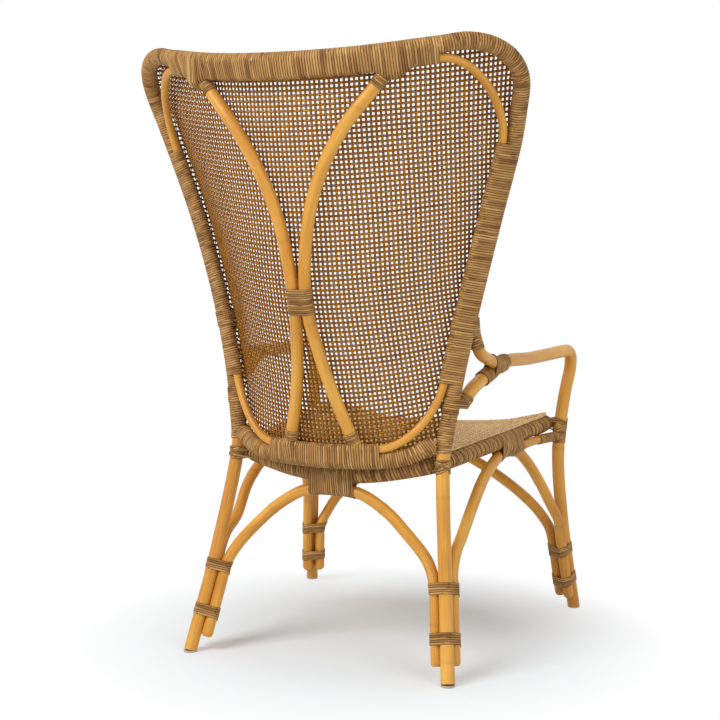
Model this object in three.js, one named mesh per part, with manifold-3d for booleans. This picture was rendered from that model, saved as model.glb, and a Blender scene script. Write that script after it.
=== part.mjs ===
// High wing-back armchair of rattan: bent poles, a woven back, a woven seat and bound joints.
// Millimetres. x runs to the sitter's left, y to the rear, z up. The chair stands on z = 0 and is
// made with its left half given and its right half mirrored.
import * as THREE from 'three';
import Module from 'manifold-3d';

// Pole and wrap sizes
const poleRadius = 13.5;
const braceRadius = 12;
const archRadius = 11.5;
const elbowRadius = 12;
const hoopRadius = 8;
const railRadius = 9;
const wrapThickness = 2.8;
const stripThickness = 1.8;
const fit = 0.3;
const bindingFit = 0.4;
const lashGap = 0.9;
const hoopWall = 1.5;
const glideThickness = 4;
const glideRim = 1.5;
const backWeaveThickness = 5;
const seatWeaveThickness = 6;
const weaveBorders = [1, 0.72, 0.44, 0.18];

// Back: half width, and depth of its sides and middle, at six even heights from backBottom to backTop
const backBottom = 400;
const backTop = 1200;
const halfWidths = [222, 243, 278, 322, 371, 405];
const sideDepths = [222, 204.5, 200, 209, 235, 296];
const centreDepths = [287, 334, 387, 416, 447, 465];
// Top rail from its middle round the upper corner: distance out, drop below backTop
const topRailOutline = [[0, 44], [140, 38], [274, 20], [322, 12.5], [358, 20], [382, 41], [390, 74]];
const topDoubleIndex = 2;
const sideDoubleTopShare = 0.76375;
const sideDoubleBottomShare = 0.19375;
const sideWrapRise = 24;
const sideDoubleShares = [0, 0.25, 0.5, 0.75, 1];
// Bottom rail from its middle to its end: distance out, rise above backBottom
const bottomRailOutline = [[0, 5], [60, 6], [115, 8], [152, 13], [182, 24], [208, 42]];
const bottomDoubleIndex = 2;
const bottomWeaveIndex = 4;
const hoopCornerPull = 0.32;
const hoopCornerSteps = 5;
// Brace from its foot to its top: distance out beyond the middle, with the rise above backBottom at the foot,
// the drop below backTop at the head and shares of the back's height between
const braceFoot = [[60, 32.8], [52, 56]];
const braceLower = [[26, 0.18], [10, 0.28]];
const braceTie = 0.4025;
const braceUpper = [[19, 0.5875], [53, 0.7025], [98, 0.796]];
const braceHead = [[151, 98], [174, 68.8]];

// Legs and arms: places in plan, with heights as shares of armHeight or drops below it
const rearFoot = [279, 330];
const rearKneeShare = 0.58;
const rearLegBow = [-4, -7];
const frontFoot = [329, -330];
const frontLeg = [[310, -297, 0.346], [301, -288, 0.59], [304, -293, 0.728]];
const armHeight = 584;
const armRise = [[310, -306, 92], [317, -319, 38], [318, -316, 14], [317, -300, 2], [313, -266, 0]];
const armRun = [[305, -200, 1], [292, -100, 2], [278, 40, 0]];
const armFall = [[270, 82, 0.235], [263, 122, 0.44], [259, 158, 0.632]];
const armEndShare = 0.575;
const armSide = [0.4, -0.92];
const elbowTopRise = 100;
const elbowTopSide = [-0.15, -0.99];
const elbowHoldRise = 66;
const elbowHoldSide = [0.25, -0.97];
const elbowSweep = [[277, 163, 32], [278, 128, 17], [280, 98, 8], [278, 66, -4]];
const junctionRear = 135;
const junctionFront = 20;

// Seat: plan of its ring between the middle of the rear and the middle of the front, depth from the rear
const seatPlan = [[85, -7], [155, -24], [202, -39], [219, -89], [237, -219], [252, -329], [262, -429],
  [271, -497], [266, -539], [234, -562], [120, -570]];
const seatRearCornerIndex = 3;
const seatFrontCornerIndex = 9;
const seatDepth = 572;
const seatAhead = 48.5;
const seatBelow = 37;
const seatRise = 25;
const seatHalfRear = 212;
const seatHalfFront = 270;
const seatSagRear = 29;
const seatSagFront = 18;
const seatFrontDrop = 25;
const seatFrontLip = 75;
const seatWeaveRaise = 9;
const seatBindingGap = 7;

// Arches under the seat: places in plan, with heights as shares of the rise from bend to top
const archEndHeight = 30;
const archSettle = 25;
const rearArchBend = 172;
const rearArchRise = [[207, 254, 0.257], [155, 248, 0.586], [118, 244, 0.777], [60, 243, 0.968]];
const frontArchBend = 138;
const frontArchRise = [[276, -313, 0.19], [250, -313, 0.364], [211, -316, 0.524], [148, -322, 0.714],
  [79, -324, 0.883]];
const sideArchRearBend = 195;
const sideArchFrontBend = 205;
const sideArchRear = [[253, 225, 0.18], [251, 185, 0.318], [255, 127, 0.632], [254, 70, 0.828],
  [252, 5, 0.945]];
const sideArchFront = [[255, -141, 0.955], [269, -171, 0.8], [285, -206, 0.538], [298, -243, 0.247]];
const sideArchTop = [252, -90];
const sideArchLean = -105 * Math.PI / 180;
const endArchLean = -90 * Math.PI / 180;
const railLean = -55 * Math.PI / 180;
const railPlan = [[264, -200], [255, -115], [251, -75]];
// Which side of its leg each arch end lies on
const rearArchSide = [-0.95, -0.3];
const frontArchSide = [-0.93, 0.36];
const sideArchRearSide = [0.2, -1];
const sideArchFrontSide = [0, 1];

// Bindings: loops of flat cane
const rearLashHeights = [82, 169];
const frontLashHeights = [62, 130];
const lashLoops = 5;
const lashPitch = 4.4;
const archLoops = 12;
const archPitch = 7.6;
const tieLoops = 11;
const endLoops = 4;
const elbowLoops = 6;
const crossLoops = 3;
const crossSlant = 1.3;
const crossTuck = 0.9;
const stripShare = 0.78;

const poleSides = 7;
const hoopSides = 6;
const wrapSides = 10;
const stripFacets = 8;
const stationSag = 2;
const bundleSpread = 56;
const ballStep = 2;
const steep = 0.9;

const pole = { color: 0xd9a24c, roughness: 0.42, metalness: 0 };
const cane = { color: 0xa88a5c, roughness: 0.62, metalness: 0 };
const weave = { color: 0x9a6a36, roughness: 0.6, metalness: 0 };
const seatCane = { color: 0xb3946a, roughness: 0.65, metalness: 0 };
const glideNylon = { color: 0xd9d6ce, roughness: 0.5, metalness: 0 };

const wrapRadius = poleRadius + wrapThickness;
const hoopWrapRadius = hoopRadius + wrapThickness;
const hoopSpacing = poleRadius + hoopRadius + 2 * fit + hoopWall;
const quarterTurn = stripFacets / 4;
const stripReach = (radius) => (radius + bindingFit) / Math.cos(Math.PI / stripFacets) + stripThickness;
const chair = new THREE.Group();
const wasm = await Module();
wasm.setup();

const at = (x, y, z) => new THREE.Vector3(x, y, z);
const mirrored = (points) => points.map((p) => at(-p.x, p.y, p.z));
const bothSides = [['left', (points) => points], ['right', mirrored]];
const span = (from, to) => Array.from({ length: to - from + 1 }, (_, k) => from + k);

function piece(name, geometry, finish) {
  const mesh = new THREE.Mesh(geometry, new THREE.MeshStandardMaterial(finish));
  mesh.name = name;
  chair.add(mesh);
}

// Indexed geometry whose triangles all point out of the solid
function facesOut(points, triangles) {
  let volume = 0;
  for (let i = 0; i < triangles.length; i += 3) {
    const [a, b, c] = [0, 1, 2].map((corner) => points[triangles[i + corner]]);
    volume += a.dot(b.clone().cross(c));
  }
  const geometry = new THREE.BufferGeometry().setFromPoints(points);
  geometry.setIndex(volume < 0 ? [...triangles].reverse() : triangles);
  return geometry;
}

// Closed solid from rings of equal point counts, capped at its ends or run round into itself
function loft(rings, closed = false) {
  const count = rings[0].length;
  const triangles = [];
  const bands = closed ? rings.length : rings.length - 1;
  for (let band = 0; band < bands; band += 1) {
    const low = band * count;
    const high = ((band + 1) % rings.length) * count;
    for (let side = 0; side < count; side += 1) {
      const next = (side + 1) % count;
      triangles.push(low + side, low + next, high + next, low + side, high + next, high + side);
    }
  }
  if (!closed) {
    const last = (rings.length - 1) * count;
    for (let side = 1; side < count - 1; side += 1) {
      triangles.push(0, side + 1, side, last, last + side, last + side + 1);
    }
  }
  return facesOut(rings.flat(), triangles);
}

function tangents(points, closed = false) {
  const count = points.length;
  return points.map((point, i) => {
    const before = closed ? points[(i + count - 1) % count] : points[Math.max(i - 1, 0)];
    const after = closed ? points[(i + 1) % count] : points[Math.min(i + 1, count - 1)];
    return after.clone().sub(before).normalize();
  });
}

const squareTo = (direction, axis) => direction.clone()
  .addScaledVector(axis, -direction.dot(axis)).normalize();

// Directions across a path, carried along it without twist and brought back round a closed one
function crossFrames(points, closed = false) {
  const along = tangents(points, closed);
  const first = squareTo(Math.abs(along[0].z) > steep ? at(1, 0, 0) : at(0, 0, 1), along[0]);
  let across = first;
  const turned = along.map((tangent) => {
    across = squareTo(across, tangent);
    return across;
  });
  if (closed) {
    const back = squareTo(across, along[0]);
    const twist = Math.atan2(back.clone().cross(first).dot(along[0]), back.dot(first));
    turned.forEach((direction, i) => {
      turned[i] = direction.clone().applyAxisAngle(along[i], twist * i / points.length);
    });
  }
  return turned.map((u, i) => ({ u, v: along[i].clone().cross(u), along: along[i] }));
}

function circleRing(point, frame, radius, sides) {
  return span(0, sides - 1).map((k) => {
    const angle = 2 * Math.PI * (k + 0.5) / sides;
    return point.clone()
      .addScaledVector(frame.u, radius * Math.cos(angle))
      .addScaledVector(frame.v, radius * Math.sin(angle));
  });
}

function tube(points, radius, sides = poleSides, closed = false) {
  const frames = crossFrames(points, closed);
  return loft(points.map((point, i) => circleRing(point, frames[i], radius, sides)), closed);
}

function solid(geometry) {
  const vertProperties = new Float32Array(geometry.attributes.position.array);
  const triVerts = new Uint32Array(geometry.index.array);
  return new wasm.Manifold(new wasm.Mesh({ numProp: 3, vertProperties, triVerts }));
}

function cut(geometry, tools) {
  const rest = tools.reduce((body, tool) => body.subtract(solid(tool)), solid(geometry));
  const mesh = rest.getMesh();
  const result = new THREE.BufferGeometry();
  result.setAttribute('position', new THREE.BufferAttribute(mesh.vertProperties, mesh.numProp));
  result.setIndex([...mesh.triVerts]);
  return result;
}

// Smooth path through chosen points, with stations between two of them where the bend needs it.
// The marks tell which stations are the chosen points.
function smooth(points, closed = false) {
  const curve = new THREE.CatmullRomCurve3(points, closed);
  const spans = closed ? points.length : points.length - 1;
  const path = [];
  const marks = [];
  for (let k = 0; k < spans; k += 1) {
    const [start, half, end] = [k, k + 0.5, k + 1].map((place) => curve.getPoint(place / spans));
    const sag = new THREE.Line3(start, end).closestPointToPoint(half, true, at(0, 0, 0)).distanceTo(half);
    marks.push(path.length);
    path.push(start);
    if (sag > 4 * stationSag) path.push(curve.getPoint((k + 0.25) / spans));
    if (sag > stationSag) path.push(half);
    if (sag > 4 * stationSag) path.push(curve.getPoint((k + 0.75) / spans));
  }
  if (!closed) {
    marks.push(path.length);
    path.push(points.at(-1).clone());
  }
  return { path, marks };
}

// Where a path crosses the plane through a point, nearest to that point
function crossing(path, point, normal) {
  let best = null;
  for (let i = 0; i + 1 < path.length; i += 1) {
    const before = path[i].clone().sub(point).dot(normal);
    const after = path[i + 1].clone().sub(point).dot(normal);
    if (before * after <= 0 && before !== after) {
      const hit = path[i].clone().lerp(path[i + 1], before / (before - after));
      if (!best || hit.distanceTo(point) < best.distanceTo(point)) best = hit;
    }
  }
  return best;
}

const atHeight = (path, z) => crossing(path, at(path.at(-1).x, path.at(-1).y, z), at(0, 0, 1));
const nearestOf = (path, point) => path.reduce((a, b) => (b.distanceTo(point) < a.distanceTo(point) ? b : a));

// Back surface: depth at a place of its front view, and its unit normal towards the sitter
const between = (start, end, share) => THREE.MathUtils.lerp(start, end, share);
const backLevels = halfWidths.map((_, i) => between(backBottom, backTop, i / (halfWidths.length - 1)));
const backTable = (values) => new THREE.CatmullRomCurve3(
  values.map((value, i) => at(value, 0, backLevels[i])), false, 'catmullrom', 0.5);
const [widthTable, sideTable, centreTable] = [halfWidths, sideDepths, centreDepths].map(backTable);
const backValue = (table, z) => table.getPoint(
  THREE.MathUtils.clamp((z - backBottom) / (backTop - backBottom), 0, 1)).x;
const sidePoint = (z) => at(backValue(widthTable, z), backValue(sideTable, z), z);

function onBack(x, z) {
  const centre = backValue(centreTable, z);
  const bow = centre - backValue(sideTable, z);
  return at(x, centre - bow * (x / backValue(widthTable, z)) ** 2, z);
}

function backNormal(x, z) {
  const acrossX = onBack(x + 1, z).sub(onBack(x - 1, z));
  const acrossZ = onBack(x, z + 1).sub(onBack(x, z - 1));
  return acrossX.cross(acrossZ).normalize();
}

// Into the back's own surface, square to a path on it
function inward(point, tangent) {
  const direction = tangent.clone().cross(backNormal(point.x, point.z)).normalize();
  const middle = at(0, 0, (backBottom + backTop) / 2).sub(at(point.x, 0, point.z));
  return direction.dot(middle) < 0 ? direction.negate() : direction;
}

// Back frame pole from the right foot over the top to the left foot, cut level at the floor glides
const topRail = topRailOutline.map(([x, drop]) => onBack(x, backTop - drop));
const sideDoubleTop = between(backBottom, backTop, sideDoubleTopShare);
const sideDoubleBottom = between(backBottom, backTop, sideDoubleBottomShare);
const sideWrapFoot = backBottom + sideWrapRise;
const sideRun = [
  between(topRail.at(-1).z, sideDoubleTop, 0.5),
  ...sideDoubleShares.map((share) => between(sideDoubleTop, sideDoubleBottom, share)),
  between(sideDoubleBottom, sideWrapFoot, 0.5),
  sideWrapFoot,
].map(sidePoint);
const hip = sideRun.at(-1);
const rearGround = at(...rearFoot, glideThickness);
const rearKnee = hip.clone().lerp(rearGround, rearKneeShare).add(at(...rearLegBow, 0));
const pastGround = (ground, knee) => ground.clone().add(ground.clone().sub(knee).setLength(poleRadius));
const frameHalf = [...topRail, ...sideRun, rearKnee, rearGround, pastGround(rearGround, rearKnee)];
const frame = smooth([...mirrored(frameHalf).reverse(), ...frameHalf.slice(1)]);
const frameMark = (k) => frame.marks[frameHalf.length - 1 + k];
const frameAlong = tangents(frame.path);
const topMiddle = frameMark(0);
const topDoubleEnd = frameMark(topDoubleIndex);
const doubleHigh = frameMark(topRail.length + 1);
const doubleLow = frameMark(topRail.length + sideDoubleShares.length);
const wrapFoot = frameMark(topRail.length + sideRun.length - 1);
const frameLeft = frame.path.slice(topMiddle);
const rearLeg = frame.path.slice(doubleLow);

const railHalf = bottomRailOutline.map(([x, rise]) => onBack(x, backBottom + rise));
const rail = smooth([...mirrored(railHalf).reverse(), ...railHalf.slice(1)]);
const railMark = (k) => rail.marks[railHalf.length - 1 + k];
const railAlong = tangents(rail.path);
const railMiddle = railMark(0);
const railDoubleEnd = railMark(bottomDoubleIndex);
const railDoubleStart = railMark(-bottomDoubleIndex);

// Inner hoop: beside the pole where it is wrapped with it, and swung across the four corners
const beside = (path, along, i, distance) => path[i].clone()
  .addScaledVector(inward(path[i], along[i]), distance);
const besideFrame = (i) => beside(frame.path, frameAlong, i, hoopSpacing);
const besideRail = (i) => beside(rail.path, railAlong, i, hoopSpacing);
const hoopTop = span(topMiddle, topDoubleEnd).map(besideFrame);
const hoopSide = span(doubleHigh, doubleLow).map(besideFrame);
const hoopBottom = span(railMiddle, railDoubleEnd).map(besideRail).reverse();

function hoopCorner(before, after) {
  const start = before.at(-1);
  const end = after[0];
  const pull = start.distanceTo(end) * hoopCornerPull;
  const leave = start.clone().sub(before.at(-2)).setLength(pull).add(start);
  const arrive = end.clone().sub(after[1]).setLength(pull).add(end);
  return new THREE.CubicBezierCurve3(start, leave, arrive, end).getPoints(hoopCornerSteps).slice(1, -1);
}

const hoopHalf = [...hoopTop, ...hoopCorner(hoopTop, hoopSide), ...hoopSide,
  ...hoopCorner(hoopSide, hoopBottom), ...hoopBottom];
const hoopPath = [...hoopHalf, ...mirrored(hoopHalf.slice(1, -1)).reverse()];

// Ring round one or two poles: the farthest of their circles in each direction
function wrapRing(point, { u, v, along }, circles) {
  return span(0, wrapSides - 1).map((k) => {
    const angle = 2 * Math.PI * (k + 0.5) / wrapSides;
    const out = u.clone().multiplyScalar(Math.cos(angle)).addScaledVector(v, Math.sin(angle));
    const reach = ({ centre, radius }) => centre.clone().sub(point).dot(out) + radius;
    const { centre, radius } = circles.reduce((a, b) => (reach(b) > reach(a) ? b : a));
    const offset = centre.clone().sub(point);
    offset.addScaledVector(along, -offset.dot(along));
    return point.clone().add(offset).addScaledVector(out, radius);
  });
}

// Outer form of a wrap along stations of a path, doubled with the hoop between two of them
function wrapForm(path, first, last, doubleFirst, doubleLast, hoopAt, extra = 0) {
  const frames = crossFrames(path);
  const rings = [];
  const add = (i, shift, doubled) => {
    const point = path[i].clone().addScaledVector(frames[i].along, shift);
    const circles = [{ centre: point, radius: wrapRadius + extra }];
    if (doubled) circles.push({ centre: hoopAt(i), radius: hoopWrapRadius + extra });
    rings.push(wrapRing(point, frames[i], circles));
  };
  span(first, last).forEach((i) => {
    if (i === doubleFirst && i > first) add(i, -fit, false);
    const inset = (i === first ? fit / 2 : 0) - (i === last ? fit / 2 : 0);
    add(i, inset, i >= doubleFirst && i <= doubleLast);
    if (i === doubleLast && i < last) add(i, fit, false);
  });
  return loft(rings);
}

const topForm = (extra) => wrapForm(frame.path, 2 * topMiddle - topDoubleEnd, topDoubleEnd,
  0, frame.path.length, besideFrame, extra);
const sideForm = (extra) => wrapForm(frame.path, topDoubleEnd, wrapFoot,
  doubleHigh, doubleLow, besideFrame, extra);
const bottomForm = (extra) => wrapForm(rail.path, 0, rail.path.length - 1,
  railDoubleStart, railDoubleEnd, besideRail, extra);

function mirrorGeometry(geometry) {
  const flipped = geometry.clone().scale(-1, 1, 1);
  flipped.setIndex([...geometry.index.array].reverse());
  return flipped;
}

// A path run past both of its ends, for tools that cut right through
function lengthened(path) {
  const past = (end, next) => end.clone().add(end.clone().sub(next).setLength(poleRadius));
  return [past(path[0], path[1]), ...path, past(path.at(-1), path.at(-2))];
}

const wrapClearance = (wrapRadius + fit) / Math.cos(Math.PI / wrapSides);
const frameTool = tube(frame.path, poleRadius + fit);
const frameClear = tube(frame.path, wrapClearance, wrapSides);
const railTool = tube(lengthened(rail.path), poleRadius + fit);
const hoopTool = tube(hoopPath, hoopRadius + fit, hoopSides, true);
const floor = (() => {
  const reach = 2 * Math.max(...rearFoot, ...frontFoot);
  const square = (z) => [[1, 1], [-1, 1], [-1, -1], [1, -1]].map(([x, y]) => at(x * reach, y * reach, z));
  return loft([square(-reach), square(glideThickness)]);
})();

function buildBackFrame() {
  piece('back_frame_pole', cut(tube(frame.path, poleRadius), [floor]), pole);
  piece('back_inner_hoop', tube(hoopPath, hoopRadius, hoopSides, true), pole);
  piece('back_bottom_rail', cut(tube(rail.path, poleRadius), [frameClear]), pole);
  piece('top_wrap', cut(topForm(), [frameTool, hoopTool]), cane);
  piece('side_wrap_left', cut(sideForm(), [frameTool, hoopTool]), cane);
  piece('side_wrap_right', cut(mirrorGeometry(sideForm()), [frameTool, hoopTool]), cane);
  piece('bottom_wrap', cut(bottomForm(), [railTool, hoopTool, frameClear]), cane);
}

// Braces that bow apart above and below the place where they are tied
const weaveForward = wrapRadius + fit + backWeaveThickness / 2;
const braceForward = weaveForward - backWeaveThickness / 2 - bindingFit - stripReach(braceRadius);
const braceRows = [
  ...braceFoot.map(([out, rise]) => [out, backBottom + rise]),
  ...[...braceLower, [0, braceTie], ...braceUpper]
    .map(([out, share]) => [out, between(backBottom, backTop, share)]),
  ...braceHead.map(([out, drop]) => [out, backTop - drop]),
];
const bracePoints = braceRows.map(([out, z]) => {
  const x = braceRadius + fit + out;
  return onBack(x, z).addScaledVector(backNormal(x, z), braceForward);
});
const bracePath = smooth(bracePoints).path;

function buildBraces() {
  const tools = [topForm(fit), bottomForm(fit)];
  bothSides.forEach(([side, place]) => {
    piece(`back_brace_${side}`, cut(tube(place(bracePath), braceRadius), tools), pole);
  });
}

// Woven sheet inside a closed outline, on a surface given by a point and a direction for each place
function sheet(outline, surface, thickness, shares) {
  const points = [];
  const triangles = [];
  const count = outline.length;
  const middle = [0, 1].map((axis) => outline.reduce((sum, place) => sum + place[axis] / count, 0));
  const push = (place, side) => {
    const { point, normal } = surface(...place);
    points.push(point.addScaledVector(normal, side * thickness / 2));
  };
  [1, -1].forEach((side) => {
    shares.forEach((share) => outline.forEach((place) => {
      push([0, 1].map((axis) => middle[axis] + (place[axis] - middle[axis]) * share), side);
    }));
    push(middle, side);
  });
  const face = shares.length * count + 1;
  const last = (shares.length - 1) * count;
  for (let k = 0; k < count; k += 1) {
    const next = (k + 1) % count;
    for (let ring = 0; ring < last; ring += count) {
      const [a, b, c, d] = [ring + k, ring + next, ring + count + next, ring + count + k];
      triangles.push(a, b, c, a, c, d, face + a, face + c, face + b, face + a, face + d, face + c);
    }
    triangles.push(last + k, last + next, face - 1, face + last + next, face + last + k, 2 * face - 1);
    triangles.push(k, face + k, face + next, k, face + next, next);
  }
  return facesOut(points, triangles);
}

// Heights where the arm's end and the elbow's top are bound to the back
const armEndHeight = between(sideWrapFoot, armHeight, armEndShare);
const armEndTie = armEndHeight + endLoops * lashPitch / 4;
const elbowTopTie = armHeight + between(elbowHoldRise, elbowTopRise, 0.5);

// Room for the loops of a binding round the side of the back
function sideRoom(height, loops, place) {
  const half = (loops + 1) * lashPitch / 2;
  const inward = hoopHalf.filter((p) => Math.abs(p.z - height) < half)
    .map((p) => p.distanceTo(sidePoint(p.z)));
  const reach = Math.max(hoopSpacing, ...inward) + stripReach(hoopWrapRadius);
  const radius = reach / Math.cos(Math.PI / wrapSides);
  return tube(place([sidePoint(height - half), sidePoint(height + half)]), radius, wrapSides);
}

function buildBackWeave() {
  const edge = (path, along, i) => {
    const { x, z } = beside(path, along, i, poleRadius + fit);
    return [x, z];
  };
  const lastSide = frameMark(topRail.length + sideRun.length - 2);
  const half = [
    ...span(topMiddle, lastSide).map((i) => edge(frame.path, frameAlong, i)),
    ...span(railMiddle, railMark(bottomWeaveIndex)).reverse().map((i) => edge(rail.path, railAlong, i)),
  ];
  const outline = [...half, ...half.slice(1, -1).reverse().map(([x, z]) => [-x, z])];
  const surface = (x, z) => {
    const normal = backNormal(x, z);
    return { point: onBack(x, z).addScaledVector(normal, weaveForward), normal };
  };
  const rooms = bothSides.flatMap(([, place]) => [
    sideRoom(armEndTie, endLoops, place), sideRoom(elbowTopTie, elbowLoops, place),
  ]);
  piece('back_weave', cut(sheet(outline, surface, backWeaveThickness, weaveBorders), rooms), weave);
}

// Seat surface: level along its sides, sagging between them and dropping to its front lip.
// The rear of its ring lies ahead of the back's bottom rail and below it.
const seatRear = railHalf[0].y - seatAhead;
const seatHeightRear = railHalf[0].z - seatBelow + seatSagRear;

function seatHeight(x, y) {
  const run = (seatRear - y) / seatDepth;
  const across = Math.max(0, 1 - (x / between(seatHalfRear, seatHalfFront, run)) ** 2);
  const lip = THREE.MathUtils.smoothstep(seatFrontLip - seatDepth * (1 - run), 0, seatFrontLip);
  const sag = between(seatSagRear, seatSagFront, run);
  return seatHeightRear + seatRise * run - across * (sag + seatFrontDrop * lip);
}

const ringHalf = [[0, 0], ...seatPlan, [0, -seatDepth]]
  .map(([x, back]) => at(x, seatRear + back, seatHeight(x, seatRear + back)));
const ring = smooth([...ringHalf, ...mirrored(ringHalf.slice(1, -1)).reverse()], true);
const ringFrames = crossFrames(ring.path, true);
const ringFront = ring.marks[ringHalf.length - 1];
const ringLeft = ring.path.slice(0, ringFront + 1);
const rearCorner = ring.marks[seatRearCornerIndex];
const frontCorner = ring.marks[seatFrontCornerIndex];
const ringTool = tube(ring.path, poleRadius + fit, poleSides, true);
const opened = (run) => [...mirrored(run.slice(1)).reverse(), ...run];
const rearRing = opened(ringLeft.slice(0, rearCorner + 1));
const frontRing = opened(ringLeft.slice(frontCorner).reverse());
const sideArchTie = nearestOf(ringLeft, at(...sideArchTop, seatHeight(...sideArchTop)));

function ringWrap(first, last) {
  const count = ring.path.length;
  const rings = span(first, last).map((k) => {
    const i = (k + count) % count;
    const shift = (k === first ? fit : 0) - (k === last ? fit : 0);
    const point = ring.path[i].clone().addScaledVector(ringFrames[i].along, shift);
    return circleRing(point, ringFrames[i], wrapRadius, wrapSides);
  });
  return cut(loft(rings), [ringTool]);
}

// Walk along a path: the distance along it nearest to a place, and the point and direction at a distance
function walk(path) {
  const along = tangents(path);
  const travelled = [0];
  path.slice(1).forEach((point, i) => travelled.push(travelled[i] + point.distanceTo(path[i])));
  const nearest = (place) => {
    const feet = path.slice(1).map((point, i) => {
      const segment = new THREE.Line3(path[i], point);
      const share = segment.closestPointToPointParameter(place, true);
      const away = segment.at(share, at(0, 0, 0)).distanceTo(place);
      return { away, distance: between(travelled[i], travelled[i + 1], share) };
    });
    return feet.reduce((a, b) => (b.away < a.away ? b : a)).distance;
  };
  const reached = (distance) => {
    const passed = travelled.filter((length) => length < distance).length;
    const i = THREE.MathUtils.clamp(passed, 1, path.length - 1);
    const share = (distance - travelled[i - 1]) / (travelled[i] - travelled[i - 1]);
    const axis = along[i - 1].clone().lerp(along[i], share).normalize();
    return { point: path[i - 1].clone().lerp(path[i], share), axis };
  };
  return { nearest, reached };
}

// Room for the loops of a binding round the seat ring
function ringRoom(path, middle, half) {
  const { nearest, reached } = walk(path);
  const line = [-1, -0.5, 0, 0.5, 1].map((share) => reached(nearest(middle) + share * half).point);
  return tube(line, stripReach(wrapRadius) + seatBindingGap, wrapSides);
}

function buildSeat() {
  const count = ring.path.length;
  piece('seat_ring', tube(ring.path, poleRadius, poleSides, true), pole);
  piece('seat_wrap_rear', ringWrap(-rearCorner, rearCorner), cane);
  piece('seat_wrap_left', ringWrap(rearCorner, frontCorner), cane);
  piece('seat_wrap_front', ringWrap(frontCorner, count - frontCorner), cane);
  piece('seat_wrap_right', ringWrap(count - frontCorner, count - rearCorner), cane);
  const inset = (wrapRadius + fit) / Math.cos(Math.PI / wrapSides);
  const outline = ring.path.map((point, i) => {
    const inside = at(-ringFrames[i].along.y, ringFrames[i].along.x, 0).normalize();
    if (inside.dot(at(point.x, point.y - seatRear + seatDepth / 2, 0)) > 0) inside.negate();
    return [point.x + inside.x * inset, point.y + inside.y * inset];
  });
  const surface = (x, y) => ({ point: at(x, y, seatHeight(x, y) + seatWeaveRaise), normal: at(0, 0, 1) });
  const archHalf = archLoops * archPitch / 2 + bindingFit;
  const cornerHalf = poleRadius + 2 * wrapRadius;
  const rooms = [ringRoom(rearRing, ringHalf[0], archHalf), ringRoom(frontRing, ringHalf.at(-1), archHalf)];
  bothSides.forEach(([, place]) => {
    const [tie, ...corners] = place([sideArchTie, ring.path[rearCorner], ring.path[frontCorner]]);
    rooms.push(ringRoom(place(ringLeft), tie, archHalf));
    corners.forEach((corner) => rooms.push(ringRoom(place(ringLeft), corner, cornerHalf)));
  });
  piece('seat_weave', cut(sheet(outline, surface, seatWeaveThickness, weaveBorders), rooms), seatCane);
}

// Front leg, arm and its run down to the back, as one bent pole
const besideSide = (z, side, radius) => sidePoint(z)
  .add(at(...side, 0).setLength(wrapRadius + radius + lashGap));
const armEnd = besideSide(armEndHeight, armSide, poleRadius);
const frontGround = at(...frontFoot, glideThickness);
const legPoints = frontLeg.map(([x, y, share]) => at(x, y, armHeight * share));
const post = smooth([
  pastGround(frontGround, legPoints[0]), frontGround, ...legPoints,
  ...[...armRise, ...armRun].map(([x, y, drop]) => at(x, y, armHeight - drop)),
  ...armFall.map(([x, y, share]) => at(x, y, between(armHeight, armEndHeight, share))), armEnd,
]);
const armStart = post.marks[4 + legPoints.length];
const frontLegDown = post.path.slice(0, armStart + 1).reverse();
const elbowPath = smooth([
  besideSide(armHeight + elbowTopRise, elbowTopSide, elbowRadius),
  besideSide(armHeight + elbowHoldRise, elbowHoldSide, elbowRadius),
  ...elbowSweep.map(([x, y, rise]) => at(x, y, armHeight + rise)),
]).path;

function buildArms() {
  bothSides.forEach(([side, place]) => {
    const arm = place(post.path);
    const armTool = tube(arm, poleRadius + fit);
    const run = arm.slice(armStart);
    const [front, rear] = [junctionFront, junctionRear]
      .map((y) => crossing(run, at(run[0].x, y, armHeight), at(0, 1, 0)));
    const joint = [front, ...run.filter((p) => p.y > junctionFront && p.y < junctionRear), rear];
    const elbowTools = [armTool, tube(joint, wrapClearance, wrapSides)];
    piece(`front_leg_arm_${side}`, cut(tube(arm, poleRadius), [floor]), pole);
    piece(`arm_elbow_${side}`, cut(tube(place(elbowPath), elbowRadius), elbowTools), pole);
    piece(`arm_junction_wrap_${side}`, cut(tube(joint, wrapRadius, wrapSides), [armTool]), cane);
  });
}

// Arches: each end lies along its leg, and each top lies under the seat ring
const underRing = (place, out, lean, radius) => {
  const hit = nearestOf(ringLeft, at(...place, seatHeight(...place)));
  const reach = wrapRadius + radius + lashGap;
  const aside = reach * Math.cos(lean);
  return hit.clone().add(at(out[0] * aside, out[1] * aside, reach * Math.sin(lean)));
};
const alongLeg = (leg, bend, side) => {
  const aside = at(...side, 0).setLength(poleRadius + archRadius + lashGap);
  const heights = [bend, bend - archSettle, between(bend, archEndHeight, 0.5), archEndHeight];
  return heights.map((height) => atHeight(leg, height).add(aside));
};
const rising = (points, bend, top) => points.map(([x, y, share]) => at(x, y, between(bend, top.z, share)));

function crossArch(leg, bend, side, rise, top) {
  const half = [...rising(rise, bend, top).reverse(), ...alongLeg(leg, bend, side)];
  return smooth([...mirrored(half).reverse(), top, ...half]).path;
}

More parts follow.
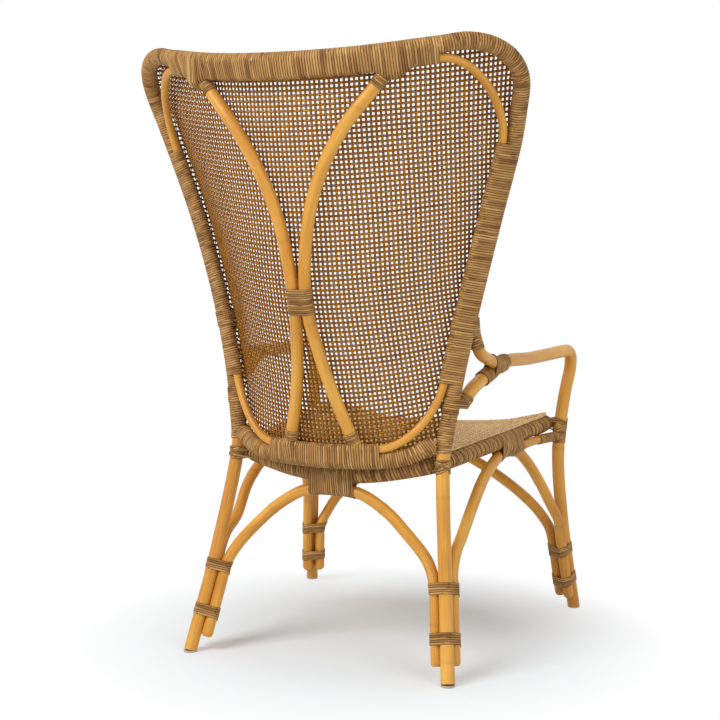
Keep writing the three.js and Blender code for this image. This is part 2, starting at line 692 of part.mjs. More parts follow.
const rearArch = crossArch(rearLeg, rearArchBend, rearArchSide, rearArchRise,
  underRing([0, seatRear], [0, 1], endArchLean, archRadius));
const frontArch = crossArch(frontLegDown, frontArchBend, frontArchSide, frontArchRise,
  underRing([0, seatRear - seatDepth], [0, -1], endArchLean, archRadius));
const sideTop = underRing(sideArchTop, [1, 0], sideArchLean, archRadius);
const sideArch = smooth([
  ...alongLeg(rearLeg, sideArchRearBend, sideArchRearSide).reverse(),
  ...rising(sideArchRear, sideArchRearBend, sideTop), sideTop,
  ...rising(sideArchFront, sideArchFrontBend, sideTop),
  ...alongLeg(frontLegDown, sideArchFrontBend, sideArchFrontSide),
]).path;
const railPoints = railPlan.map((place) => underRing(place, [1, 0], railLean, railRadius));
const sideRail = smooth([atHeight(frontLegDown, railPoints[0].z), ...railPoints]).path;

function buildArches() {
  piece('rear_arch', tube(rearArch, archRadius), pole);
  piece('front_arch', tube(frontArch, archRadius), pole);
  bothSides.forEach(([side, place]) => {
    piece(`side_arch_${side}`, tube(place(sideArch), archRadius), pole);
    const legTool = tube(place(post.path), poleRadius + fit);
    piece(`seat_side_rail_${side}`, cut(tube(place(sideRail), railRadius), [legTool]), pole);
  });
}

// A pole of a bundle, as a close row of ball centres along it
function bundled(path, radius) {
  const balls = path.slice(1).flatMap((end, i) => {
    const count = Math.ceil(end.distanceTo(path[i]) / ballStep);
    return span(0, count - 1).map((k) => path[i].clone().lerp(end, k / count));
  });
  return { balls: [...balls, path.at(-1)], radius: radius + bindingFit };
}

// Corners of the tight outline round a bundle, in a plane of some thickness across it
function bundleCorners(point, along, aim, bundle, thickness) {
  const circles = [];
  bundle.forEach(({ balls, radius }) => balls.forEach((ball) => {
    const offset = ball.clone().sub(point);
    const away = Math.max(0, Math.abs(offset.dot(along)) - thickness / 2);
    if (away >= radius || offset.length() > bundleSpread) return;
    const centre = offset.addScaledVector(along, -offset.dot(along));
    circles.push({ centre, radius: Math.sqrt(radius ** 2 - away ** 2) });
  }));
  const u = squareTo(aim, along);
  const v = along.clone().cross(u);
  const turn = 2 * Math.PI / stripFacets;
  const facing = (k) => u.clone().multiplyScalar(Math.cos(k * turn)).addScaledVector(v, Math.sin(k * turn));
  const reach = span(0, stripFacets).map((k) => {
    const out = facing(k);
    return Math.max(...circles.map(({ centre, radius }) => centre.dot(out) + radius));
  });
  return span(0, stripFacets - 1).map((k) => {
    const slide = (reach[k + 1] - reach[k] * Math.cos(turn)) / Math.sin(turn);
    const corner = point.clone()
      .addScaledVector(facing(k), reach[k]).addScaledVector(facing(k + quarterTurn), slide);
    return { corner, out: facing(k + 0.5) };
  });
}

// One unbroken strip wound round a bundle along a guide line, flat inside and crowned outside
const windingGaps = [];

function winding(guide, middle, loops, pitch, bundle) {
  const stripWidth = pitch * stripShare;
  const { nearest, reached } = walk(guide);
  const start = nearest(middle) - loops * pitch / 2;
  const aside = nearestOf(bundle.at(-1).balls, middle).clone().sub(middle);
  const aim = aside.length() > fit ? aside : at(0, 1, 0);
  const rings = [];
  for (let loop = 0; loop < loops; loop += 1) {
    const { point, axis } = reached(start + (loop + 0.5) * pitch);
    bundleCorners(point, axis, aim, bundle, 2 * pitch).forEach(({ corner, out }, k) => {
      const base = corner.addScaledVector(axis, (k / stripFacets - 0.5) * pitch);
      rings.push([
        base.clone().addScaledVector(axis, -stripWidth / 2),
        base.clone().addScaledVector(axis, stripWidth / 2),
        base.clone().addScaledVector(out, stripThickness),
      ]);
    });
  }
  rings.slice(stripFacets).forEach(([low], k) => windingGaps.push(low.distanceTo(rings[k][1])));
  return loft(rings);
}

function buildLegBindings() {
  const rows = [
    ['rear', rearLeg, [rearArch, sideArch], rearLashHeights],
    ['front', frontLegDown, [frontArch, sideArch], frontLashHeights],
  ];
  rows.forEach(([row, leg, ends, heights]) => heights.forEach((height, level) => {
    bothSides.forEach(([side, place]) => {
      const arches = ends.map((path) => bundled(place(path), archRadius));
      const bundle = [bundled(place(leg), poleRadius), ...arches];
      const middle = place([atHeight(leg, height)])[0];
      const name = `${row}_leg_binding_${side}_${level ? 'upper' : 'lower'}`;
      piece(name, winding(place(leg), middle, lashLoops, lashPitch, bundle), cane);
    });
  }));
}

function buildArchBindings() {
  const tie = (name, guide, middle, poles) => piece(name, winding(guide, middle, archLoops, archPitch,
    [bundled(guide, wrapRadius), ...poles]), cane);
  tie('rear_arch_binding', rearRing, ringHalf[0], [bundled(rearArch, archRadius)]);
  tie('front_arch_binding', frontRing, ringHalf.at(-1), [bundled(frontArch, archRadius)]);
  bothSides.forEach(([side, place]) => {
    const guide = place(ringLeft.slice(rearCorner, frontCorner + 1));
    tie(`side_arch_binding_${side}`, guide, place([sideArchTie])[0],
      [bundled(place(sideArch), archRadius), bundled(place(sideRail), railRadius)]);
  });
}

function buildBraceBindings() {
  const middle = bracePoints[braceFoot.length + braceLower.length];
  const centre = bracePath.map((p) => at(0, p.y, p.z));
  piece('brace_tie_binding', winding(centre, at(0, middle.y, middle.z), tieLoops, lashPitch,
    [bundled(bracePath, braceRadius), bundled(mirrored(bracePath), braceRadius)]), cane);
  bothSides.forEach(([side, place]) => {
    const guide = place(bracePath);
    const bundle = [bundled(guide, braceRadius)];
    const [foot, top] = place([bracePoints[1], bracePoints.at(-2)]);
    piece(`brace_foot_binding_${side}`, winding(guide, foot, endLoops, lashPitch, bundle), cane);
    piece(`brace_top_binding_${side}`, winding(guide, top, endLoops, lashPitch, bundle), cane);
  });
}

function buildArmBindings() {
  bothSides.forEach(([side, place]) => {
    const guide = place(frameLeft);
    const wrapped = bundled(guide, wrapRadius);
    const arm = bundled(place(post.path), poleRadius);
    const elbow = bundled(place(elbowPath), elbowRadius);
    const bareHoop = bundled(place(hoopHalf), hoopRadius);
    const wrappedHoop = bundled(place(hoopSide), hoopWrapRadius);
    const [armMiddle, elbowMiddle] = place([sidePoint(armEndTie), sidePoint(elbowTopTie)]);
    piece(`arm_end_binding_${side}`, winding(guide, armMiddle, endLoops, lashPitch,
      [wrapped, bareHoop, wrappedHoop, arm]), cane);
    piece(`elbow_top_binding_${side}`, winding(guide, elbowMiddle, elbowLoops, lashPitch,
      [wrapped, bareHoop, wrappedHoop, elbow]), cane);
  });
}

// Slanting loops that tie the wrapped seat ring to each leg
function buildSeatLegBindings() {
  const rows = [['rear', rearLeg, rearCorner], ['front', frontLegDown, frontCorner]];
  rows.forEach(([row, leg, corner]) => {
    const seat = ring.path[corner];
    const stand = atHeight(leg, seat.z);
    const slant = at(0, 0, 1).addScaledVector(ringFrames[corner].along, crossSlant)
      .setLength(poleRadius + wrapRadius);
    const middle = seat.clone().lerp(stand, 0.5);
    const line = [middle.clone().sub(slant), middle, middle.clone().add(slant)];
    bothSides.forEach(([side, place]) => {
      const bundle = [bundled(place(ringLeft), wrapRadius - crossTuck), bundled(place(leg), poleRadius)];
      piece(`${row}_seat_binding_${side}`, winding(place(line), place([middle])[0],
        crossLoops, lashPitch, bundle), cane);
    });
  });
}

function buildGlides() {
  const top = glideThickness - fit;
  const profile = [[0, 0], [poleRadius - glideRim, 0], [poleRadius, glideRim], [poleRadius, top], [0, top]]
    .map(([x, y]) => new THREE.Vector2(x, y));
  [['rear', rearGround], ['front', frontGround]].forEach(([row, foot]) => {
    bothSides.forEach(([side, place]) => {
      const disc = new THREE.LatheGeometry(profile, wrapSides).rotateX(Math.PI / 2);
      disc.translate(place([foot])[0].x, foot.y, 0);
      piece(`glide_${row}_${side}`, disc, glideNylon);
    });
  });
}

buildBackFrame();
buildBraces();
buildBackWeave();
buildSeat();
buildArms();
buildArches();
buildLegBindings();
buildArchBindings();
buildBraceBindings();
buildArmBindings();
buildSeatLegBindings();
buildGlides();

console.log(`least gap between loops of a binding: ${Math.min(...windingGaps).toFixed(2)} mm`);
const extent = new THREE.Box3().setFromObject(chair);
chair.position.y = -(extent.min.y + extent.max.y) / 2;

export default chair;
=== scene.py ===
"""Rattan wing-back armchair, dressed: round poles, wound cane, an open woven back and a close woven seat."""

import logging
import math
from dataclasses import dataclass, field
from enum import Enum
from functools import cached_property
from typing import Sequence

import bpy
import numpy as np
from bpy.types import ColorRamp, Material, Mesh, Node, NodeSocket, NodeTree, Object
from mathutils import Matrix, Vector


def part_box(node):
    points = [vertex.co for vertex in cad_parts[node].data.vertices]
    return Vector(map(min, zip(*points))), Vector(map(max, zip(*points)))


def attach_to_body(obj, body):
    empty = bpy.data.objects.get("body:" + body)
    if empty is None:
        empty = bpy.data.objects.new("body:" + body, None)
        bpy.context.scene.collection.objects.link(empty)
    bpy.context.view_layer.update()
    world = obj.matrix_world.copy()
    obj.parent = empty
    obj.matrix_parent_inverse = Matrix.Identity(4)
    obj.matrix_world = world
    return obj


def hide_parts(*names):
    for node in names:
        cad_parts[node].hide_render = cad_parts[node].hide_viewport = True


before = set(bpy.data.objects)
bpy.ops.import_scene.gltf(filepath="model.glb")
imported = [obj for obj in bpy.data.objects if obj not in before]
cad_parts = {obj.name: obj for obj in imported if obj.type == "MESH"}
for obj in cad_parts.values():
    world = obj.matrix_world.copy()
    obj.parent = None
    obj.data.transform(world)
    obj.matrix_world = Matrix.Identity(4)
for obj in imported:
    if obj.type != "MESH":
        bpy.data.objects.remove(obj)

LOG = logging.getLogger("armchair")
BODY = "root"
MILLI = 0.001
UP = np.array([0.0, 0.0, 1.0])
FLIP = np.array([-1.0, 1.0, 1.0])
FAR = -1000.0
Array = np.ndarray
Pair = tuple[float, float]
Triple = tuple[float, float, float]


class Slot(Enum):
    """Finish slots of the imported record."""

    POLE = "rattan_pole"
    WRAP = "cane_wrap"
    WEAVE = "cane_weave"
    SEAT = "seat_cane"
    GLIDE = "glide_nylon"


class Side(Enum):
    """Halves of the chair, with the sign of x on each."""

    LEFT = 1
    RIGHT = -1

    @property
    def word(self) -> str:
        """Name of the half as the nodes spell it."""
        return self.name.lower()

    def place(self, points: Array) -> Array:
        """Points of the left half moved to this half."""
        return points if self is Side.LEFT else points * FLIP


class Value:
    """A node's output that takes part in Python expressions."""

    def __init__(self, graph: "Graph", socket: NodeSocket) -> None:
        """Keeps the socket and the graph it belongs to."""
        self.graph = graph
        self.socket = socket

    @property
    def is_vector(self) -> bool:
        """True for a vector output."""
        return self.socket.type == "VECTOR"

    def _pair(self, operation: str, first: object, second: object) -> "Value":
        """Adds the Math or Vector Math node for two terms.

        Args:
            operation: The node's operation.
            first: Left term, a value or a number.
            second: Right term, a value or a number.

        Returns:
            The node's result.
        """
        vectors = [isinstance(term, Value) and term.is_vector for term in (first, second)]
        if operation == "MULTIPLY" and any(vectors) and not all(vectors):
            vector, factor = (first, second) if vectors[0] else (second, first)
            return self.graph.node("ShaderNodeVectorMath", {"operation": "SCALE"},
                                   {0: vector, "Scale": factor})["Vector"]
        if any(vectors):
            return self.graph.node("ShaderNodeVectorMath", {"operation": operation}, {0: first, 1: second})["Vector"]
        return self.graph.node("ShaderNodeMath", {"operation": operation}, {0: first, 1: second})["Value"]

    def __add__(self, other: object) -> "Value":
        """Sum."""
        return self._pair("ADD", self, other)

    def __radd__(self, other: object) -> "Value":
        """Sum with the value on the right."""
        return self._pair("ADD", other, self)

    def __sub__(self, other: object) -> "Value":
        """Difference."""
        return self._pair("SUBTRACT", self, other)

    def __rsub__(self, other: object) -> "Value":
        """Difference with the value on the right."""
        return self._pair("SUBTRACT", other, self)

    def __mul__(self, other: object) -> "Value":
        """Product."""
        return self._pair("MULTIPLY", self, other)

    def __rmul__(self, other: object) -> "Value":
        """Product with the value on the right."""
        return self._pair("MULTIPLY", other, self)

    def __truediv__(self, other: object) -> "Value":
        """Quotient."""
        return self._pair("DIVIDE", self, other)

    def __rtruediv__(self, other: object) -> "Value":
        """Quotient with the value below."""
        return self._pair("DIVIDE", other, self)

    def __pow__(self, other: object) -> "Value":
        """Power."""
        return self._pair("POWER", self, other)

    def above(self, other: object) -> "Value":
        """One where the value is over the other, else zero."""
        return self._pair("GREATER_THAN", self, other)

    def apply(self, operation: str) -> "Value":
        """Result of a Math operation on this value alone."""
        return self.graph.node("ShaderNodeMath", {"operation": operation}, {0: self})["Value"]

    def dot(self, other: "Value") -> "Value":
        """Dot product of two vectors."""
        return self.graph.node("ShaderNodeVectorMath", {"operation": "DOT_PRODUCT"}, {0: self, 1: other})["Value"]

    def cross(self, other: "Value") -> "Value":
        """Cross product of two vectors."""
        return self.graph.node("ShaderNodeVectorMath", {"operation": "CROSS_PRODUCT"}, {0: self, 1: other})["Vector"]

    def unit(self) -> "Value":
        """The vector at length one."""
        return self.graph.node("ShaderNodeVectorMath", {"operation": "NORMALIZE"}, {0: self})["Vector"]

    def clamp(self, low: float, high: float) -> "Value":
        """Linear step from zero at low to one at high."""
        return self.graph.node("ShaderNodeMapRange", {"clamp": True},
                               {"Value": self, "From Min": low, "From Max": high})["Result"]


class Outputs:
    """The outputs of one node, by name or place."""

    def __init__(self, graph: "Graph", node: Node) -> None:
        """Keeps the node and its graph."""
        self.graph = graph
        self.node = node

    def __getitem__(self, key: str | int) -> Value:
        """The output of that name or place."""
        if isinstance(key, int):
            return Value(self.graph, self.node.outputs[key])
        return Value(self.graph, next(s for s in self.node.outputs if s.name == key and s.enabled))


class Graph:
    """A node tree that is written as expressions."""

    def __init__(self, tree: NodeTree) -> None:
        """Keeps the tree."""
        self.tree = tree

    def node(self, kind: str, settings: dict | None = None, inputs: dict | None = None) -> Outputs:
        """Adds one node.

        Args:
            kind: Blender's name of the node type.
            settings: Properties that are set first; "stops" fills a colour ramp.
            inputs: Values, numbers or lists of values for its sockets, by name or place.

        Returns:
            The node's outputs.
        """
        made = self.tree.nodes.new(kind)
        for name, value in (settings or {}).items():
            if name == "stops":
                self._fill_ramp(made.color_ramp, value)
            else:
                setattr(made, name, value)
        for key, value in (inputs or {}).items():
            socket = made.inputs[key] if isinstance(key, int) else next(
                s for s in made.inputs if s.name == key and s.enabled)
            for term in value if isinstance(value, list) else [value]:
                if isinstance(term, Value):
                    self.tree.links.new(term.socket, socket)
                else:
                    socket.default_value = term
        return Outputs(self, made)

    @staticmethod
    def _fill_ramp(ramp: ColorRamp, stops: Sequence[tuple]) -> None:
        """Sets a colour ramp's stops, each a place and a colour.

        Args:
            ramp: The ramp.
            stops: Place and colour of each stop.
        """
        while len(ramp.elements) < len(stops):
            ramp.elements.new(0.5)
        for element, (place, colour) in zip(ramp.elements, stops):
            element.position = place
            element.color = (*colour, 1.0)

    def vector(self, x: object, y: object, z: object) -> Value:
        """A vector from three terms."""
        return self.node("ShaderNodeCombineXYZ", None, {"X": x, "Y": y, "Z": z})["Vector"]

    def noise(self, place: Value, scale: float, detail: float = 2.0, rough: float = 0.5) -> Value:
        """Noise between zero and one over a vector."""
        return self.node("ShaderNodeTexNoise", {"noise_dimensions": "3D"},
                         {"Vector": place, "Scale": scale, "Detail": detail, "Roughness": rough})["Fac"]

    def mix(self, share: object, first: object, second: object) -> Value:
        """Mix of two colours.

        Args:
            share: How much of the second colour.
            first: A colour value or its red, green and blue.
            second: A colour value or its red, green and blue.

        Returns:
            The mixed colour.
        """
        colours = [c if isinstance(c, Value) else (*c, 1.0) for c in (first, second)]
        return self.node("ShaderNodeMix", {"data_type": "RGBA"},
                         {"Factor": share, "A": colours[0], "B": colours[1]})["Result"]


class Recipe(Graph):
    """A Geometry Nodes tree with named inputs, used to shape pieces."""

    def __init__(self, name: str) -> None:
        """Makes an empty tree with its geometry sockets."""
        super().__init__(bpy.data.node_groups.new(name, "GeometryNodeTree"))
        self._enter = self.tree.nodes.new("NodeGroupInput")
        self._leave = self.tree.nodes.new("NodeGroupOutput")
        self.tree.interface.new_socket("Geometry", in_out="OUTPUT", socket_type="NodeSocketGeometry")
        self.base = self.size("Base", "Geometry")
        self.material = self.size("Material", "Material")

    def size(self, name: str, kind: str = "Float") -> Value:
        """Adds a named input and returns its value inside the tree."""
        self.tree.interface.new_socket(name, in_out="INPUT", socket_type="NodeSocket" + kind)
        return Value(self, next(s for s in self._enter.outputs if s.name == name))

    def named(self, name: str, kind: str = "FLOAT") -> Value:
        """A named attribute of the geometry at hand."""
        return self.node("GeometryNodeInputNamedAttribute", {"data_type": kind}, {"Name": name})["Attribute"]

    def store(self, geometry: Value, name: str, value: Value) -> Value:
        """The geometry with a number stored on its points under a name."""
        return self.node("GeometryNodeStoreNamedAttribute", {"data_type": "FLOAT", "domain": "POINT"},
                         {"Geometry": geometry, "Name": name, "Value": value})["Geometry"]

    def ring(self, sides: object) -> Value:
        """A round outline of radius one, which keeps each point's place on it as outward and across.

        Args:
            sides: Number of its sides.

        Returns:
            The outline.
        """
        ring = self.node("GeometryNodeCurvePrimitiveCircle", None, {"Resolution": sides, "Radius": 1.0})["Curve"]
        for axis, name in (("X", "outward"), ("Y", "across")):
            place = self.node("GeometryNodeInputPosition")["Position"]
            ring = self.store(ring, name, self.node("ShaderNodeSeparateXYZ", None, {0: place})[axis])
        return ring

    def oval(self, sides: object, width: object, height: object) -> Value:
        """A flat oval outline for strands and strips."""
        return self.node("GeometryNodeTransform", None,
                         {"Geometry": self.ring(sides),
                          "Scale": self.vector(height * 0.5, width * 0.5, 1.0)})["Geometry"]

    def guide(self) -> Value:
        """The edges of the base mesh as a curve."""
        return self.node("GeometryNodeMeshToCurve", None, {"Mesh": self.base})["Curve"]

    def stations(self, turns: Value, steps: Value) -> Value:
        """A line of stations whose points keep their turn.

        Args:
            turns: Number of turns.
            steps: Stations to each turn.

        Returns:
            The line, to be laid in its place.
        """
        line = self.node("GeometryNodeCurvePrimitiveLine", None, {"End": (0.0, 0.0, 1.0)})["Curve"]
        line = self.node("GeometryNodeResampleCurve", {"mode": "COUNT"},
                         {"Curve": line, "Count": turns * steps + 1.0})["Curve"]
        return self.store(line, "turn", self.node("GeometryNodeSplineParameter")["Factor"] * turns)

    def tube(self, curve: Value, profile: Value, girth: object = 1.0) -> Value:
        """A closed tube along a curve."""
        return self.node("GeometryNodeCurveToMesh", None, {"Curve": curve, "Profile Curve": profile, "Scale": girth,
                                                           "Fill Caps": True})["Mesh"]

    def strip(self, curve: Value, facing: Value, profile: Value) -> Value:
        """A strip along a curve, its broad side turned to where it faces."""
        turned = self.node("GeometryNodeSetCurveNormal", {"mode": "FREE"}, {"Curve": curve, "Normal": facing})["Curve"]
        return self.tube(turned, profile)

    def finish(self, geometry: Value | list[Value]) -> None:
        """Ends the tree: joined, realised and with its material.

        Args:
            geometry: What the tree has made.
        """
        joined = self.node("GeometryNodeJoinGeometry", None, {"Geometry": geometry})["Geometry"]
        real = self.node("GeometryNodeRealizeInstances", None, {"Geometry": joined})["Geometry"]
        done = self.node("GeometryNodeSetMaterial", None, {"Geometry": real, "Material": self.material})["Geometry"]
        self.tree.links.new(done.socket, self._leave.inputs[0])

    def shape(self, name: str, base: Mesh, sizes: dict[str, object]) -> Object:
        """Runs the tree on a mesh and keeps the result as a plain mesh.

        Args:
            name: The piece's name.
            base: The mesh that the tree starts from.
            sizes: Values of the tree's inputs, by name.

        Returns:
            The finished object, at the origin and with no modifier.
        """
        piece = bpy.data.objects.new(name, base)
        bpy.context.scene.collection.objects.link(piece)
        modifier = piece.modifiers.new("recipe", "NODES")
        modifier.node_group = self.tree
        for item in self.tree.interface.items_tree:
            if item.in_out == "INPUT" and item.name in sizes:
                modifier[item.identifier] = sizes[item.name]
        depsgraph = bpy.context.evaluated_depsgraph_get()
        made = bpy.data.meshes.new_from_object(piece.evaluated_get(depsgraph), preserve_all_data_layers=True,
                                               depsgraph=depsgraph)
        piece.modifiers.clear()
        piece.data = made
        made.name = name
        bpy.data.meshes.remove(base)
        return piece


class PoleRecipe(Recipe):
    """A round rattan pole along a line, with knuckles where leaves grew."""

    knuckle_reach: float = 0.0035
    end_reach: float = 0.007
    unevenness: float = 0.05

    def __init__(self) -> None:
        """Writes the tree."""
        super().__init__("rattan pole")
        radius, step = self.size("Radius"), self.size("Step")
        sides = self.size("Sides", "Int")
        spacing, swell, shift = self.size("Knuckle spacing"), self.size("Knuckle swell"), self.size("Shift")
        rounding = self.size("End rounding")
        curve = self.guide()
        curve = self.node("GeometryNodeResampleCurve", {"mode": "LENGTH"}, {"Curve": curve, "Length": step})["Curve"]
        along = self.node("GeometryNodeSplineParameter")["Length"]
        place = along / spacing + shift
        away = (place.apply("FRACT") - 0.5) * spacing / self.knuckle_reach
        curve = self.store(curve, "along", along + shift * 7.0)
        curve = self.store(curve, "knuckle", (away * away * -1.0).apply("EXPONENT"))
        uneven = self.noise(self.vector(shift * 31.0, along * 9.0, 0.0), 1.0) - 0.5
        rest = self.node("GeometryNodeSplineLength")["Length"] - along
        end = along + (rest - along) * along.above(rest)
        narrow = (1.0 - end.clamp(0.0, self.end_reach)) ** 2.0 * rounding
        girth = radius * (1.0 + swell * self.named("knuckle") + uneven * self.unevenness) * (1.0 - narrow)
        self.finish(self.tube(curve, self.ring(sides), girth))


class WindingRecipe(Recipe):
    """One unbroken strip of cane wound round a line and up to two more poles beside it."""

    step_from: float = 0.8

    def __init__(self) -> None:
        """Writes the tree."""
        super().__init__("wound cane")
        pitch, width, thickness = self.size("Pitch"), self.size("Width"), self.size("Thickness")
        lay, slack, hand, level = (self.size(name) for name in ("Lay", "Slack", "Hand", "Level"))
        steps, sides = self.size("Steps", "Int"), self.size("Sides", "Int")
        guide = self.guide()
        turns = self.node("GeometryNodeCurveLength", None, {"Curve": guide})["Length"] / pitch
        line, turn = self.stations(turns, steps), self.named("turn")
        stepped = turn.apply("FLOOR") + turn.apply("FRACT").clamp(self.step_from, 1.0)
        self._guide, self._reach = guide, (turn + (stepped - turn) * level) * pitch
        spot = self._sample("core", "FLOAT")
        position, tangent, normal = spot["Position"], spot["Tangent"], spot["Normal"]
        angle = turn * math.tau * hand + lay
        out = normal * angle.apply("COSINE") + tangent.cross(normal) * angle.apply("SINE")
        best = spot["Value"]
        hold, face = out * best, out
        for mate in ("a", "b"):
            centre = self._sample("mate_" + mate, "FLOAT_VECTOR")["Value"]
            girth = self._sample("girth_" + mate, "FLOAT")["Value"]
            skew = self._sample("skew_" + mate, "FLOAT_VECTOR")["Value"]
            lean = skew.dot(out)
            support = (girth * girth + lean * lean).apply("SQRT")
            reach = centre.dot(out) + support * girth.apply("SIGN")
            touch = centre + (out * (girth * girth) + skew * lean) * (1.0 / (support + 1e-6))
            aside, axis = touch - centre, self._sample("axis_" + mate, "FLOAT_VECTOR")["Value"]
            chosen = reach.above(best)
            hold = hold + (touch - hold) * chosen
            face = face + ((aside - axis * aside.dot(axis)).unit() - face) * chosen
            best = best + (reach - best) * chosen
        drift = (self.noise(self.vector(turn * 0.71, lay * 3.3, 0.0), 1.0) - 0.5) * slack
        line = self.node("GeometryNodeSetPosition", None,
                         {"Geometry": line, "Position": position + hold + tangent * drift
                          + face * (thickness * 0.5)})["Geometry"]
        self.finish(self.strip(line, face, self.oval(sides, width, thickness)))

    def _sample(self, name: str, kind: str) -> Outputs:
        """The guide's place and one of its attributes at the reach of each station."""
        return self.node("GeometryNodeSampleCurve", {"mode": "LENGTH", "data_type": kind},
                         {"Curves": self._guide, "Value": self.named(name, kind), "Length": self._reach})


class WeaveRecipe(Recipe):
    """Two families of strands over and under each other on a net of crossings."""

    def __init__(self) -> None:
        """Writes the tree."""
        super().__init__("cane weave")
        rise, width, thickness = self.size("Rise"), self.size("Width"), self.size("Thickness")
        sides, bends = self.size("Sides", "Int"), self.size("Bends", "Int")
        facing = self.named("facing", "FLOAT_VECTOR")
        strands = []
        for family, sign in (("warp", 1.0), ("weft", -1.0)):
            net = self.node("GeometryNodeSetPosition", None,
                            {"Geometry": self.base, "Offset": facing * (self.named("lift") * rise * sign)})["Geometry"]
            curve = self.node("GeometryNodeMeshToCurve", None,
                              {"Mesh": net, "Selection": self.named(family, "BOOLEAN")})["Curve"]
            curve = self.store(curve, "strand", self.named(family + "_number"))
            curve = self.store(curve, "along", self.node("GeometryNodeSplineParameter")["Length"])
            curve = self.node("GeometryNodeCurveSplineType", {"spline_type": "CATMULL_ROM"}, {"Curve": curve})["Curve"]
            curve = self.node("GeometryNodeSetSplineResolution", None,
                              {"Geometry": curve, "Resolution": bends})["Geometry"]
            strands.append(self.strip(curve, facing, self.oval(sides, width, thickness)))
        self.finish(strands)


class BraidRecipe(Recipe):
    """Three strands plaited along a line."""

    def __init__(self) -> None:
        """Writes the tree."""
        super().__init__("cane braid")
        pitch, spread, rise = self.size("Pitch"), self.size("Spread"), self.size("Rise")
        width, thickness = self.size("Width"), self.size("Thickness")
        steps, sides = self.size("Steps", "Int"), self.size("Sides", "Int")
        guide = self.guide()
        turns = self.node("GeometryNodeCurveLength", None, {"Curve": guide})["Length"] / pitch
        strands = []
        for strand in range(3):
            line, turn = self.stations(turns, steps), self.named("turn")
            spot = self.node("GeometryNodeSampleCurve", {"mode": "LENGTH", "data_type": "FLOAT_VECTOR"},
                             {"Curves": guide, "Value": self.named("facing", "FLOAT_VECTOR"),
                              "Length": turn * pitch})
            up, side = spot["Value"], spot["Tangent"].cross(spot["Value"])
            angle = (turn + strand / 3.0) * math.tau
            place = spot["Position"] + side * (angle.apply("SINE") * spread)
            place = place + up * ((angle * 2.0).apply("SINE") * rise)
            line = self.node("GeometryNodeSetPosition", None, {"Geometry": line, "Position": place})["Geometry"]
            line = self.store(line, "strand", turn * 0.0 + float(strand))
            line = self.store(line, "along", turn * pitch)
            strands.append(self.strip(line, up, self.oval(sides, width, thickness)))
        self.finish(strands)


class Shade(Graph):
    """A material's nodes, with its surface shader at hand."""

    def __init__(self, name: str) -> None:
        """Makes the material with its plain surface shader."""
        self.material = bpy.data.materials.new(name)
        self.material.use_nodes = True
        super().__init__(self.material.node_tree)
        self.surface = self.tree.nodes["Principled BSDF"]

    def attribute(self, name: str) -> Value:
        """A number that the mesh carries on its points."""
        return self.node("ShaderNodeAttribute", {"attribute_name": name})["Fac"]

    def feed(self, socket: str, value: object) -> None:
        """Links a value to a socket of the surface shader, or sets a number there.

        Args:
            socket: Name of the socket.
            value: The value, number or colour.
        """
        target = self.surface.inputs[socket]
        if isinstance(value, Value):
            self.tree.links.new(value.socket, target)
        else:
            target.default_value = value

    def relief(self, height: Value, strength: float, depth: float) -> None:
        """Bumps the surface by a height."""
        bump = self.node("ShaderNodeBump", None, {"Strength": strength, "Distance": depth, "Height": height})
        self.feed("Normal", bump["Normal"])


@dataclass(frozen=True)
class PoleFinish:
    """Peeled and lacquered rattan pole: honey gold, faint fibres, a darker line at each knuckle."""

    name: str = "lacquered rattan"
    deep: Triple = (0.45, 0.17, 0.018)
    honey: Triple = (0.65, 0.292, 0.032)
    pale: Triple = (0.79, 0.43, 0.075)
    knuckle: Triple = (0.27, 0.10, 0.02)

    def build(self) -> Material:
        """Writes the material."""
        shade = Shade(self.name)
        along = shade.attribute("along")
        ring = (shade.attribute("outward"), shade.attribute("across"))
        fibre = shade.noise(shade.vector(ring[0] * 5.0, ring[1] * 5.0, along * 5.0), 3.2, 4.0, 0.6)
        cloud = shade.noise(shade.vector(ring[0] * 0.4, ring[1] * 0.4, along * 5.0), 1.2, 2.0)
        fleck = shade.noise(shade.vector(ring[0] * 9.0, ring[1] * 9.0, along * 60.0), 2.6, 2.0)
        tone = shade.node("ShaderNodeValToRGB", {"stops": [(0.34, self.deep), (0.5, self.honey), (0.68, self.pale)]},
                          {"Fac": fibre * 0.5 + cloud * 0.5})["Color"]
        tone = shade.mix(fleck.clamp(0.68, 0.8) * 0.25, tone, self.deep)
        tone = shade.mix(shade.attribute("knuckle") * 0.22, tone, self.knuckle)
        shade.feed("Base Color", tone)
        shade.feed("Roughness", 0.34 + fibre * 0.16)
        shade.feed("Specular IOR Level", 0.35)
        shade.feed("Coat Weight", 0.16)
        shade.feed("Coat Roughness", 0.22)
        shade.relief(fibre + fleck * 0.4, 0.22, 0.0012)
        return shade.material


